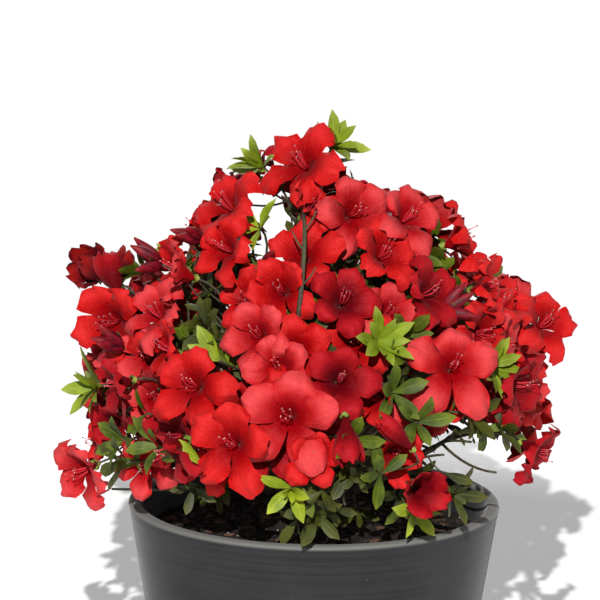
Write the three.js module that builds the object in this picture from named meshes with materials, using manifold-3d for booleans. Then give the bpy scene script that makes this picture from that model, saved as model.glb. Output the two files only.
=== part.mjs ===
// A red azalea in full bloom, growing in a round, dark, tapered pot.
// Millimetres, +Z up. The origin is the middle of the pot's flat underside, and -Y is the side seen first.
// A short trunk stands on the soil and carries one tapering bough to each part of the crown. At the end of each
// bough a mass of twigs, blooms, buds and leaves is one solid, clear of its neighbours.

import * as THREE from 'three';
import { mergeVertices } from 'three/addons/utils/BufferGeometryUtils.js';
import Module from 'manifold-3d';

const wasm = await Module();
wasm.setup();

// Driving sizes of the pot and of the soil in it
const POT = { rimRadius: 125, footRadius: 96, height: 185, wall: 8.5, floor: 9, lip: 3, edge: 1.5, facets: 36 };
const DRAIN = { holes: 4, radius: 6, ring: 52, facets: 10 };
const SOIL = { drop: 20, dish: 3, flat: 60, clearance: 0.45 };

// The least gap between two solids, and the gap that is cut where one limb stands on another
const GAP = 0.3;
const CUT_GAP = 0.4;

// Driving sizes of the wood: radii at the foot and at the tip, with the sides and steps of each kind
const TRUNK = {
  height: 62, foot: 13, neck: 8.5, top: 6.5, flare: 0.25, lean: [-3, -6], sunk: 4, sides: 10, steps: 6,
};
const BOUGH = { foot: 3.4, tip: 1.9, out: 0.5, rise: 0.22, sides: 5, steps: 4 };
const SIDE_BOUGH = { foot: 2.6, tip: 1.7, out: 0.2, along: 0.3, sides: 5, steps: 4 };
const STEM = { length: 18, foot: 1.8, tip: 1.2, sides: 5, steps: 1 };
const TWIG = { foot: 1.0, tip: 0.8, bend: 0.45, lowest: 0.3, highest: 0.95, sides: 3, steps: 2 };

// Driving sizes of what grows on the twigs. One petal's edge is listed as [share of its turn, radius, rise].
const BLOOM = {
  petals: 5, above: -8, below: -12, seat: 8.3, offset: 4,
  edge: [[0, 15, -3], [0.3, 26, 0], [0.7, 26, 0]],
};
const BUD = { length: 25, radius: 4.5, widest: 0.45, sides: 4, perCluster: 3, sink: 0.5, splay: 0.6 };
const LEAF = { length: 25, width: 10, fold: 1.6, widest: 0.55, sink: 0.2, vary: 0.15 };

// A whorl of leaves near the tip of a shoot, and one leaf lower down, with how far they lean from it in degrees
const WHORL = { leaves: 5, first: 0.97, step: 0.024, lean: 52, seat: 10 };
const LOW_LEAF = { share: 0.5, turn: 1, lean: 60 };
const LEAN_VARY = 14;

// The crown's outline in heights over the rim: widest a little over the rim, and closing to a peak that is
// rounder across than in depth
const CROWN = {
  across: 172, depth: 158, wide: 50, top: 215, foot: 130, round: 1.25, acrossPower: 0.5, depthPower: 0.95,
};

// What grows on the crown looks away from its core, and only part as steeply up. A mass's heart lies part of
// the way out from the core.
const CORE = { up: 35, steep: 0.5, heart: 0.62 };
const WOBBLE = 8;

// A shoot that is not clear is sunk into the crown, nudged aside and made smaller, a step at a time
const TRIES = { most: 36, sink: 1, nudge: 0.2, shrink: 0.006 };
const SEED = { first: 20731, perMass: 1000, perShoot: 31, warm: 3 };

// The masses seen from the front, and how far up its carrier each one's bough starts. Each place is [across, up]
// over the rim, and its depth follows from the crown's outline. A bloom may add how far its face turns to the
// right and up, in degrees, and its size.
const FRONT_MASSES = [
  { name: 'front', from: ['trunk', 0.72],
    blooms: [[-14, 82, 0, 0, 1.25], [17, 104], [-50, 66, 0, 0, 1.1]], tips: [[-15, 40], [22, 72]] },
  { name: 'top', from: ['trunk', 1],
    blooms: [[-16, 233, 0, 0, 1.15]], tips: [[-43, 232], [12, 246]] },
  { name: 'upper_left', from: ['top', 0.42],
    blooms: [[-62, 207], [-58, 180]], tips: [[-43, 196]], buds: [[-86, 187]] },
  { name: 'upper_right', from: ['top', 0.62],
    blooms: [[22, 205, 0, -15, 1.1], [58, 197], [42, 176]], tips: [[66, 178]] },
  { name: 'right_shoulder', from: ['trunk', 0.86],
    blooms: [[95, 180, 30, 0, 1.1], [110, 152]], tips: [[119, 160], [76, 164]] },
  { name: 'middle', from: ['top', 0.28],
    blooms: [[-12, 182], [17, 156], [-20, 156]], tips: [[-36, 150], [4, 132]], buds: [[-38, 173]] },
  { name: 'right_middle', from: ['right_shoulder', 0.45],
    blooms: [[72, 151], [45, 150]], tips: [[60, 132]], buds: [[90, 147]] },
  { name: 'left_shoulder', from: ['trunk', 0.86],
    blooms: [[-90, 160, -30], [-56, 152, 0, 0, 1.1]], tips: [[-74, 134]] },
  { name: 'left_tip', from: ['left_shoulder', 0.47],
    blooms: [[-133, 131, 45, -15, 1.2], [-145, 158, 50, 0, 1.1]], tips: [[-122, 162]], buds: [[-136, 112], [-112, 168]] },
  { name: 'upper_front', from: ['front', 0.45],
    blooms: [[-42, 129], [-10, 127], [-26, 110]], tips: [[-65, 117]] },
  { name: 'front_left', from: ['trunk', 0.56],
    blooms: [[-76, 97, 0, 0, 1.1], [-92, 64, -30, -25, 1.1]], tips: [[-76, 52], [-105, 62]] },
  { name: 'left', from: ['trunk', 0.74],
    blooms: [[-128, 90, -20, -25], [-106, 118, -15]], tips: [[-150, 86], [-115, 78], [-130, 60]] },
  { name: 'low_left', from: ['trunk', 0.4],
    blooms: [[-151, 28, 25, -10, 1.1]], tips: [[-130, 46], [-96, 30]] },
  { name: 'right_front', from: ['trunk', 0.6],
    blooms: [[84, 108, -25, 0, 1.15]], tips: [[42, 129], [50, 99], [104, 84], [66, 82]] },
  { name: 'right_tip', from: ['trunk', 0.78],
    blooms: [[151, 124, -45, 15, 1], [132, 94, 0, -20, 1.1]], tips: [[116, 108]] },
  { name: 'low_right', from: ['trunk', 0.48],
    blooms: [[144, 56, 0, -25]], tips: [[103, 66], [122, 44], [124, 72]] },
  { name: 'low_front', from: ['front', 0.3],
    tips: [[20, 28], [42, 52], [0, 20]], buds: [[19, 66], [45, 76]] },
  { name: 'low_front_right', from: ['trunk', 0.38],
    blooms: [[66, 46]], tips: [[67, 20], [84, 62], [92, 30]] },
];

// The far side repeats the same habit by rule: rings of masses, with blooms set round the middle of each.
// Every second bough of a ring starts lower by the ring's stagger, and a ring may lie inside the crown's depth.
const BACK_RINGS = [
  { name: 'back_low', up: 60, azimuths: [30, 70, 114, 158], reach: 26, blooms: 3, tips: 1, buds: 0,
    from: ['trunk', 0.58], stagger: 0.14, depth: 1 },
  { name: 'back_middle', up: 108, azimuths: [40, 90, 140], reach: 31, blooms: 3, tips: 2, buds: 1,
    from: ['trunk', 0.72], stagger: -0.06, depth: 1 },
  { name: 'back_upper', up: 158, azimuths: [44, 132], reach: 28, blooms: 3, tips: 2, buds: 0,
    from: ['top', 0.36], stagger: 0.14, depth: 1 },
  { name: 'crest', up: 196, azimuths: [80], reach: 24, blooms: 4, tips: 1, buds: 0,
    from: ['top', 0.75], stagger: 0, depth: 0.5 },
];
const RING = { turn: 0.7, turnEach: 1.1, size: 1.2, tipReach: 0.8, tipTurn: 0.55, budReach: 0.5, budTurn: 2 };

const COLOURS = {
  pot: [0x3b3d3f, 0.75], soil: [0x15100c, 0.95], bark: [0x4a3524, 0.85], crown: [0xd0141c, 0.6],
};

const rad = THREE.MathUtils.degToRad;
const mix = THREE.MathUtils.lerp;
const UP = new THREE.Vector3(0, 0, 1);

// A small seeded generator, so that each shoot grows the same way each time
function makeDice(seed) {
  let state = seed;
  const roll = () => {
    state = (state * 16807) % 2147483647;
    return state / 2147483647;
  };
  for (let turn = 0; turn < SEED.warm; turn++) roll();
  const spread = (size) => (roll() * 2 - 1) * size;
  const shift = (size) => new THREE.Vector3(spread(size), spread(size), spread(size));
  return { roll, spread, shift };
}

function solidOf(geometry) {
  const bare = geometry.clone();
  bare.deleteAttribute('normal');
  bare.deleteAttribute('uv');
  const merged = mergeVertices(bare, 1e-4);
  return new wasm.Manifold(new wasm.Mesh({
    numProp: 3,
    vertProperties: new Float32Array(merged.attributes.position.array),
    triVerts: new Uint32Array(merged.index.array),
  }));
}

function geometryOf(solid) {
  const mesh = solid.getMesh();
  const geometry = new THREE.BufferGeometry();
  geometry.setAttribute('position', new THREE.BufferAttribute(mesh.vertProperties, 3));
  geometry.setIndex(new THREE.BufferAttribute(mesh.triVerts, 1));
  geometry.computeVertexNormals();
  return geometry;
}

const largestBody = (solid) => solid.decompose().sort((a, b) => b.volume() - a.volume())[0];
const turned = (profile, facets) => solidOf(new THREE.LatheGeometry(profile, facets).rotateX(Math.PI / 2));

// The pot: a turned wall with a rounded lip, and a floor with drain holes
const potSlope = (POT.rimRadius - POT.footRadius) / POT.height;
const insideRadius = (z) => POT.footRadius + potSlope * z - POT.wall;

function makePot() {
  const middle = POT.rimRadius - POT.wall / 2;
  const lip = new THREE.EllipseCurve(middle, POT.height - POT.lip, POT.wall / 2, POT.lip, 0, Math.PI);
  let pot = turned([
    new THREE.Vector2(0, 0), new THREE.Vector2(POT.footRadius - POT.edge, 0),
    new THREE.Vector2(POT.footRadius, POT.edge), ...lip.getPoints(4),
    new THREE.Vector2(insideRadius(POT.floor), POT.floor), new THREE.Vector2(0, POT.floor),
  ], POT.facets);
  for (let hole = 0; hole < DRAIN.holes; hole++) {
    const turn = (hole / DRAIN.holes) * 2 * Math.PI;
    const drill = new THREE.CylinderGeometry(DRAIN.radius, DRAIN.radius, 4 * POT.floor, DRAIN.facets)
      .rotateX(Math.PI / 2)
      .translate(DRAIN.ring * Math.cos(turn), DRAIN.ring * Math.sin(turn), 0);
    pot = pot.subtract(solidOf(drill));
  }
  return pot;
}

// The soil fills the pot to a little under the rim, and is flat where the trunk stands
const soilHeight = POT.height - SOIL.drop;

function makeSoil() {
  const inside = (z) => insideRadius(z) - SOIL.clearance;
  return turned([
    new THREE.Vector2(0, POT.floor + GAP), new THREE.Vector2(inside(POT.floor), POT.floor + GAP),
    new THREE.Vector2(inside(soilHeight - SOIL.dish), soilHeight - SOIL.dish),
    new THREE.Vector2(SOIL.flat, soilHeight), new THREE.Vector2(0, soilHeight),
  ], POT.facets);
}

// A closed cylinder bent along a curve, its radius worked out along the way, and swollen all round by an extra
function limb(curve, radiusAt, { sides, steps }, extra = 0) {
  const shape = new THREE.CylinderGeometry(1, 1, 1, sides, steps);
  const frames = curve.computeFrenetFrames(steps, false);
  const places = shape.attributes.position;
  for (let i = 0; i < places.count; i++) {
    const along = places.getY(i) + 0.5;
    const ring = Math.round(along * steps);
    const radius = radiusAt(along) + extra;
    const past = { 0: -extra, [steps]: extra }[ring] ?? 0;
    const spot = curve.getPointAt(along)
      .addScaledVector(frames.tangents[ring], past)
      .addScaledVector(frames.normals[ring], places.getX(i) * radius)
      .addScaledVector(frames.binormals[ring], -places.getZ(i) * radius);
    places.setXYZ(i, spot.x, spot.y, spot.z);
  }
  return solidOf(shape);
}

const tapered = (form) => (along) => mix(form.foot, form.tip, along);

// The trunk widens to a root flare at its foot, and ends in a flat cut on the soil
const trunkFoot = soilHeight + GAP;

function trunkCurve() {
  const [x, y] = TRUNK.lean;
  return new THREE.QuadraticBezierCurve3(
    new THREE.Vector3(0, 0, trunkFoot - TRUNK.sunk),
    new THREE.Vector3(0, 0, trunkFoot + TRUNK.height / 2),
    new THREE.Vector3(x, y, trunkFoot + TRUNK.height),
  );
}

function makeTrunk(extra = 0) {
  const radiusAt = (along) => {
    const flare = (TRUNK.foot - TRUNK.neck) * Math.max(0, 1 - along / TRUNK.flare) ** 2;
    return mix(TRUNK.neck, TRUNK.top, along) + flare;
  };
  return limb(trunkCurve(), radiusAt, TRUNK, extra).trimByPlane([0, 0, 1], trunkFoot);
}

// A bloom: petals round +Z, closed by a cone in front and by a deeper one behind
function makeBloom() {
  const { petals, edge, above, below } = BLOOM;
  const profile = [new THREE.Vector2(0, below), new THREE.Vector2(1, 0), new THREE.Vector2(0, above)];
  const shape = new THREE.LatheGeometry(profile, petals * edge.length);
  const places = shape.attributes.position;
  for (let i = 1; i < places.count; i += profile.length) {
    const column = Math.floor(i / profile.length);
    const [share, radius, rise] = edge[column % edge.length];
    const angle = ((Math.floor(column / edge.length) + share) / petals) * 2 * Math.PI;
    places.setXYZ(i, Math.sin(angle) * radius, rise, Math.cos(angle) * radius);
  }
  return solidOf(shape.rotateX(Math.PI / 2));
}

// A closed bud: a pointed spindle along +Z from its foot
const makeBud = () => turned([
  new THREE.Vector2(0, 0), new THREE.Vector2(BUD.radius, BUD.length * BUD.widest),
  new THREE.Vector2(0, BUD.length),
], BUD.sides);

// A leaf: four faces along +Z, with its root behind the origin, widest past its middle, and folded up to +Y
function makeLeaf() {
  const { length, width, fold, widest, sink } = LEAF;
  const shape = new THREE.TetrahedronGeometry(1);
  const places = shape.attributes.position;
  for (let i = 0; i < places.count; i++) {
    const side = Math.sign(places.getX(i));
    if (places.getZ(i) < 0) places.setXYZ(i, (side * width) / 2, fold, length * widest);
    else places.setXYZ(i, 0, 0, side > 0 ? length : -sink);
  }
  return solidOf(shape);
}

const PIECES = { bloom: makeBloom(), bud: makeBud(), leaf: makeLeaf() };

// Puts a piece at a place, with its +Z along one direction and its +Y turned towards another
function put(piece, place, along, towards, size = 1) {
  const across = towards.clone().cross(along).normalize();
  const upper = along.clone().cross(across);
  const matrix = new THREE.Matrix4().makeBasis(across, upper, along)
    .scale(new THREE.Vector3(size, size, size)).setPosition(place);
  return piece.transform(matrix.elements);
}

// How much of the crown's full width is left at a height over the rim
function crownShare(up) {
  const reach = up > CROWN.wide ? CROWN.top : CROWN.foot;
  return 1 - Math.min(1, Math.abs(up - CROWN.wide) / reach) ** CROWN.round;
}
const halfAcross = (up) => CROWN.across * crownShare(up) ** CROWN.acrossPower;
const halfDepth = (up) => CROWN.depth * crownShare(up) ** CROWN.depthPower;

// A place on the front of the crown: where it is, over the rim, how far its face turns, and its size
function frontPlace([across, up, turn = 0, tilt = 0, size = 1]) {
  const inward = Math.sqrt(Math.max(0, 1 - (across / halfAcross(up)) ** 2));
  return { spot: new THREE.Vector3(across, -inward * halfDepth(up), up), turn, tilt, size };
}

function frontMass({ name, from, blooms = [], buds = [], tips = [] }) {
  return { name, from, blooms: blooms.map(frontPlace), buds: buds.map(frontPlace), tips: tips.map(frontPlace) };
}

// The masses of one ring on the far side
function ringMasses(ring, ringIndex) {
  const [carrier, share] = ring.from;
  return ring.azimuths.map((azimuth, index) => {
    const first = RING.turn * ringIndex + RING.turnEach * index;
    const around = (count, reach, phase) => Array.from({ length: count }, (_, k) => {
      const turn = phase + (k / count) * 2 * Math.PI;
      const up = ring.up + reach * Math.sin(turn);
      const angle = rad(azimuth) + (reach * Math.cos(turn)) / Math.max(halfAcross(up), reach);
      const deep = halfDepth(up) * ring.depth;
      const spot = new THREE.Vector3(halfAcross(up) * Math.cos(angle), deep * Math.sin(angle), up);
      return { spot, turn: 0, tilt: 0, size: RING.size };
    });
    return {
      name: `${ring.name}_${index + 1}`,
      from: [carrier, share - ring.stagger * (index % 2)],
      blooms: around(ring.blooms, ring.reach, first),
      buds: around(ring.buds, ring.reach * RING.budReach, first + RING.budTurn),
      tips: around(ring.tips, ring.reach * RING.tipReach, first + RING.tipTurn),
    };
  });
}

// Where a place looks
function facing({ spot, turn, tilt }, dice) {
  const steep = CORE.steep * Math.atan2(spot.z - CORE.up, Math.hypot(spot.x, spot.y));
  const rise = steep + rad(tilt + dice.spread(WOBBLE));
  const azimuth = Math.atan2(spot.y, spot.x) + rad(turn + dice.spread(WOBBLE));
  return new THREE.Vector3(
    Math.cos(azimuth) * Math.cos(rise), Math.sin(azimuth) * Math.cos(rise), Math.sin(rise),
  );
}

const overRim = (spot) => spot.clone().setZ(spot.z + POT.height);

function heartOf(mass) {
  const places = [...mass.blooms, ...mass.buds, ...mass.tips];
  const middle = new THREE.Vector3();
  places.forEach(({ spot }) => middle.add(spot));
  const core = new THREE.Vector3(0, 0, CORE.up);
  return overRim(middle.divideScalar(places.length).sub(core).multiplyScalar(CORE.heart).add(core));
}

// What already stands in the crown. A piece belongs to a mass or limb, and in a mass to one shoot.
const taken = [];

// Whether a solid keeps the gap to every piece, except those that it may cross
function isClear(solid, mayCross = () => false) {
  const box = solid.boundingBox();
  return taken.every((other) => mayCross(other)
    || [0, 1, 2].some((k) => box.min[k] > other.box.max[k] + GAP || box.max[k] < other.box.min[k] - GAP)
    || solid.minGap(other.solid, GAP * 2) > GAP);
}

function take(solid, owner, shoot = 0) {
  taken.push({ solid, owner, shoot, box: solid.boundingBox() });
  return solid;
}

// A bough leaves the trunk low and rises to its mass's heart. A side bough first follows its carrier.
function boughCurve(mass, curves) {
  const [carrier, share] = mass.from;
  const start = curves.get(carrier).getPointAt(share);
  const end = heartOf(mass);
  const out = end.clone().sub(start);
  const bend = carrier === 'trunk'
    ? new THREE.Vector3(out.x * BOUGH.out, out.y * BOUGH.out, out.z * BOUGH.rise)
    : curves.get(carrier).getTangentAt(share).multiplyScalar(out.length() * SIDE_BOUGH.along)
      .addScaledVector(out, SIDE_BOUGH.out);
  return new THREE.QuadraticBezierCurve3(start, start.clone().add(bend), end);
}

// Grows one bough, cut off its carrier with a gap
function growBough(mass, curves, cutters) {
  const [carrier] = mass.from;
  const form = carrier === 'trunk' ? BOUGH : SIDE_BOUGH;
  const curve = boughCurve(mass, curves);
  const bough = largestBody(limb(curve, tapered(form), form).subtract(cutters.get(carrier)));
  if (!isClear(bough)) throw new Error(`the bough to ${mass.name} is not clear`);
  curves.set(mass.name, curve);
  cutters.set(mass.name, limb(curve, tapered(form), form, CUT_GAP));
  return take(bough, `${mass.name}_bough`);
}

// Grows every bough after its carrier
function growBoughs(masses) {
  const curves = new Map([['trunk', trunkCurve()]]);
  const cutters = new Map([['trunk', makeTrunk(CUT_GAP)]]);
  const boughs = new Map();
  const waiting = [...masses];
  while (waiting.length) {
    const mass = waiting.shift();
    if (curves.has(mass.from[0])) boughs.set(mass.name, growBough(mass, curves, cutters));
    else waiting.push(mass);
  }
  return { curves, boughs };
}

// The stem of a mass goes on from its bough's tip
function stemCurve(bough) {
  const direction = bough.getTangentAt(1);
  const start = bough.getPointAt(1).addScaledVector(direction, CUT_GAP);
  return new THREE.LineCurve3(start, start.clone().addScaledVector(direction, STEM.length));
}

// A twig from the stem to a place, arriving along a direction
function twigCurve(stem, share, place, direction) {
  const start = stem.getPointAt(share);
  const bend = place.clone().addScaledVector(direction, -TWIG.bend * start.distanceTo(place));
  return new THREE.QuadraticBezierCurve3(start, bend, place);
}

// One mass as it grows from its stem, shoot by shoot
class Growth {
  constructor(mass, index, bough) {
    this.mass = mass;
    this.seed = SEED.first + SEED.perMass * index;
    this.stem = stemCurve(bough);
    this.parts = [];
    this.shoots = [];
    const clear = this.add(0, [limb(this.stem, tapered(STEM), STEM)]);
    if (!clear) throw new Error(`the stem of ${mass.name} is not clear`);
  }

  // Adds pieces to a shoot if all of them are clear of what they may not cross
  add(shoot, solids, mayCross = (other) => other.owner === this.mass.name) {
    if (!solids.every((solid) => isClear(solid, mayCross))) return false;
    solids.forEach((solid) => this.parts.push(take(solid, this.mass.name, shoot)));
    return true;
  }

  // Tries to end a new shoot at a place. Its twig stops short of it by a seat, and a function makes its ends.
  addShoot(place, seat, leafy, makeEnds) {
    const shoot = this.shoots.length + 1;
    const dice = makeDice(this.seed + SEED.perShoot * shoot);
    const look = facing(place, dice);
    for (let step = 0; step < TRIES.most; step++) {
      const size = place.size * (1 - TRIES.shrink * step);
      const face = overRim(place.spot).addScaledVector(look, -TRIES.sink * step)
        .add(dice.shift(TRIES.nudge * step));
      const share = mix(TWIG.lowest, TWIG.highest, dice.roll());
      const curve = twigCurve(this.stem, share, face.clone().addScaledVector(look, -seat * size), look);
      const twig = limb(curve, tapered(TWIG), TWIG);
      if (this.add(shoot, [twig, ...makeEnds(face, look, size, dice)])) {
        this.shoots.push({ curve, dice, leafy });
        return;
      }
    }
  }

  // A bloom's twig ends inside it, a little off its axis
  addBloom(place) {
    this.addShoot(place, BLOOM.seat, false, (face, look, size, dice) => {
      const side = dice.shift(1);
      const middle = face.clone().addScaledVector(side.clone().cross(look).normalize(), BLOOM.offset * size);
      return [put(PIECES.bloom, middle, look, side, size)];
    });
  }

  addBuds(place) {
    this.addShoot(place, BUD.length / 2, false, (face, look, size, dice) => {
      const foot = face.clone().addScaledVector(look, (-BUD.length / 2 - BUD.sink) * size);
      return Array.from({ length: BUD.perCluster }, () => {
        const along = look.clone().add(dice.shift(BUD.splay)).normalize();
        return put(PIECES.bud, foot, along, UP, size);
      });
    });
  }

  addTip(place) {
    this.addShoot(place, WHORL.seat, true, () => []);
  }

  // One leaf on a shoot, between its bend (0) and its tip (1), skipped where it would cross another shoot
  addLeaf(shoot, share, turn, lean) {
    const { curve, dice } = this.shoots[shoot - 1];
    const root = curve.getPointAt(0.5).lerp(curve.getPointAt(1), share);
    const axis = curve.getTangentAt(mix(0.5, 1, share));
    const leaning = rad(lean + dice.spread(LEAN_VARY));
    const along = axis.clone().cross(UP).normalize().applyAxisAngle(axis, turn)
      .multiplyScalar(Math.sin(leaning)).addScaledVector(axis, Math.cos(leaning));
    const leaf = put(PIECES.leaf, root, along, axis, 1 + dice.spread(LEAF.vary));
    this.add(shoot, [leaf], (other) => other.owner === this.mass.name && other.shoot === shoot);
  }

  addLeaves() {
    this.shoots.forEach(({ dice, leafy }, index) => {
      const first = dice.spread(Math.PI);
      for (let k = 0; leafy && k < WHORL.leaves; k++) {
        const turn = first + (k / WHORL.leaves) * 2 * Math.PI;
        this.addLeaf(index + 1, WHORL.first - WHORL.step * k, turn, WHORL.lean);
      }
      this.addLeaf(index + 1, LOW_LEAF.share, first + LOW_LEAF.turn, LOW_LEAF.lean);
    });
  }
}

// The whole shrub: the wood first, then the blooms and buds of every mass, and the leaves in what room is left
function growShrub() {
  const masses = [...FRONT_MASSES.map(frontMass), ...BACK_RINGS.flatMap(ringMasses)];
  const { curves, boughs } = growBoughs(masses);
  const growths = masses.map((mass, index) => new Growth(mass, index, curves.get(mass.name)));
  growths.forEach((growth) => growth.mass.blooms.forEach((place) => growth.addBloom(place)));
  growths.forEach((growth) => growth.mass.buds.forEach((place) => growth.addBuds(place)));
  growths.forEach((growth) => growth.mass.tips.forEach((place) => growth.addTip(place)));
  growths.forEach((growth) => growth.addLeaves());
  return { boughs, growths };
}

const azalea = new THREE.Group();

function addMesh(name, solid, [colour, roughness]) {
  const material = new THREE.MeshStandardMaterial({ color: colour, roughness, metalness: 0 });
  const mesh = new THREE.Mesh(geometryOf(solid), material);
  mesh.name = name;
  azalea.add(mesh);
}

addMesh('pot', take(makePot(), 'pot'), COLOURS.pot);
addMesh('soil', take(makeSoil(), 'soil'), COLOURS.soil);
addMesh('trunk', take(makeTrunk(), 'trunk'), COLOURS.bark);
const { boughs, growths } = growShrub();
boughs.forEach((solid, name) => addMesh(`${name}_bough`, solid, COLOURS.bark));
growths.forEach(({ mass, parts }) => {
  addMesh(`${mass.name}_mass`, largestBody(wasm.Manifold.union(parts)), COLOURS.crown);
});

export default azalea;
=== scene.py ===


# %% [markdown]
# # A red azalea in its pot
#
# This notebook dresses the CAD model of a flowering azalea. The model's solids are plain stand-ins:
# five-sided boughs, flat-faced blooms and a few leaves. Here each one is replaced by what really grows
# there. The pot, the soil and the wood come first, then the twigs, the leaves, the blooms and the buds,
# and at the end the floor, the light and the camera.

import math

import bmesh
import bpy
import numpy as np
from mathutils import Matrix, Vector, noise
from mathutils.kdtree import KDTree


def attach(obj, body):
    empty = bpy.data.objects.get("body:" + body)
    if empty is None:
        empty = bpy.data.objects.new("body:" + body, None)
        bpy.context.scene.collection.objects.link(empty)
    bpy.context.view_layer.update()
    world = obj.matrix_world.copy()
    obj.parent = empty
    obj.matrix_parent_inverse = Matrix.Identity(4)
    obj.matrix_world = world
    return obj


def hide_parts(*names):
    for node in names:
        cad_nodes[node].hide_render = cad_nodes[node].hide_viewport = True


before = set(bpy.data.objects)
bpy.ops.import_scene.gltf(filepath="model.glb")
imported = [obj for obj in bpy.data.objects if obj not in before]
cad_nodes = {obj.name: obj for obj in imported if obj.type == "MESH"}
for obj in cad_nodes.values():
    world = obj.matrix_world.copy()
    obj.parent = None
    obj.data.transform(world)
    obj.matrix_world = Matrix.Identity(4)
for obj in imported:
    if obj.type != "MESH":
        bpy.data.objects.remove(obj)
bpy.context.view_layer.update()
scene = bpy.context.scene

# %% [markdown]
# ## Working in millimetres
#
# The CAD source gives every size in millimetres, and sizes of a garden pot and of a petal are easier to
# judge that way. So each mesh is modelled in millimetres and scaled to metres once, when it becomes a
# piece. Scaling the mesh, not the object, keeps every object at the origin, unturned and unscaled.

# %% Turn a mesh into a piece of the model
MM = 0.001
UP = Vector((0, 0, 1))
TURN = 2 * math.pi
# Where the dice draws any turn about an axis, it draws up to this
ANY_TURN = 6.28
# The height of the pot's rim over the floor
RIM = 185.0


def add_piece(mesh, stands_for, finish, smooth=True):
    """Scales a mesh from millimetres, gives it a finish and lets it stand for its CAD nodes."""
    mesh.transform(Matrix.Scale(MM, 4))
    mesh.materials.append(finish)
    mesh.polygons.foreach_set("use_smooth", [smooth] * len(mesh.polygons))
    piece = bpy.data.objects.new(mesh.name, mesh)
    scene.collection.objects.link(piece)
    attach(piece, "root")
    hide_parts(*stands_for)
    print(mesh.name, "has", sum(len(face.vertices) - 2 for face in mesh.polygons), "triangles")


def mesh_from(form, name):
    """Turns a bmesh into a mesh with its faces outward."""
    bmesh.ops.recalc_face_normals(form, faces=form.faces)
    mesh = bpy.data.meshes.new(name)
    form.to_mesh(mesh)
    form.free()
    return mesh


print("The rim is", RIM, "mm over the floor")

# %% [markdown]
# ## Finishes made of nodes
#
# A finish here is one Principled shader whose colour, roughness and bump come from noise. Wiring nodes
# by hand in Python is long, so a small helper adds a node, sets it and links its inputs in one call.
# Two effects are used by nearly all finishes: a soft mottling, and fine veins. Each is a node group,
# built once.


# %% A helper that adds and wires nodes
class Recipe:
    """Adds nodes to one node tree. An input is a plain value or the output of another node."""

    def __init__(self, tree):
        self.tree = tree

    def add(self, kind, inputs=None, **settings):
        node = self.tree.nodes.new(kind)
        for setting, value in settings.items():
            setattr(node, setting, value)
        for socket, value in (inputs or {}).items():
            if isinstance(value, bpy.types.NodeSocket):
                self.tree.links.new(value, node.inputs[socket])
            else:
                node.inputs[socket].default_value = value
        return node

    def maths(self, operation, *values):
        return self.add("ShaderNodeMath", dict(enumerate(values)), operation=operation).outputs[0]

    def times(self, one, other):
        return self.maths("MULTIPLY", one, other)

    def plus(self, one, other):
        return self.maths("ADD", one, other)

    def minus(self, one, other):
        return self.maths("SUBTRACT", one, other)

    def mark(self, name):
        """The three numbers that each point of a joined mesh carries."""
        return self.add("ShaderNodeAttribute", attribute_name=name).outputs["Vector"]

    def apart(self, vector):
        """The three numbers of a vector."""
        return self.add("ShaderNodeSeparateXYZ", {0: vector}).outputs

    def stretched(self, place, scale):
        return self.add("ShaderNodeMapping", {"Vector": place, "Scale": scale}).outputs[0]

    def blend(self, share, low, high):
        return self.add("ShaderNodeMix", {0: share, 6: low, 7: high}, data_type="RGBA").outputs[2]

    def between(self, value, low, high):
        """Runs smoothly from 0 to 1 while the value runs from low to high."""
        inputs = {0: value, 1: low, 2: high}
        return self.add("ShaderNodeMapRange", inputs, interpolation_type="SMOOTHSTEP").outputs[0]


print("A recipe can", [name for name in vars(Recipe) if not name.startswith("_")])


# %% New materials and node groups
def new_group(name, inputs, outputs):
    """An empty node group with named sockets, its recipe, and its input and output nodes."""
    group = bpy.data.node_groups.new(name, "ShaderNodeTree")
    for socket, kind in inputs.items():
        group.interface.new_socket(socket, in_out="INPUT", socket_type=kind)
    for socket, kind in outputs.items():
        group.interface.new_socket(socket, in_out="OUTPUT", socket_type=kind)
    recipe = Recipe(group)
    return group, recipe, recipe.add("NodeGroupInput"), recipe.add("NodeGroupOutput")


def new_finish(name, colour, roughness, **others):
    """A material with one Principled shader, its recipe and the shader. Sockets are set by their names."""
    finish = bpy.data.materials.new(name)
    finish.use_nodes = True
    shader = finish.node_tree.nodes["Principled BSDF"]
    shader.inputs["Base Color"].default_value = colour
    shader.inputs["Roughness"].default_value = roughness
    for socket, value in others.items():
        shader.inputs[socket.replace("_", " ")].default_value = value
    return finish, Recipe(finish.node_tree), shader


def wire(recipe, shader, colour, height, depth, rough=None, strength=1.0):
    """Links a colour, a bump height and a roughness to the shader. The depth is in metres."""
    recipe.tree.links.new(colour, shader.inputs["Base Color"])
    if rough is not None:
        recipe.tree.links.new(rough, shader.inputs["Roughness"])
    bump = recipe.add("ShaderNodeBump", {"Height": height, "Distance": depth, "Strength": strength})
    recipe.tree.links.new(bump.outputs[0], shader.inputs["Normal"])


def linear(red, green, blue):
    """A colour as it is seen on the screen, from 0 to 255, in the linear values that shaders use."""
    seen = [value / 255 for value in (red, green, blue)]
    return (*[v / 12.92 if v <= 0.04045 else ((v + 0.055) / 1.055) ** 2.4 for v in seen], 1)


print("A middle grey on the screen is", round(linear(128, 128, 128)[0], 3), "in a shader")

# %% The two shared effects
FLOAT = "NodeSocketFloat"
VECTOR = "NodeSocketVector"

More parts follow.
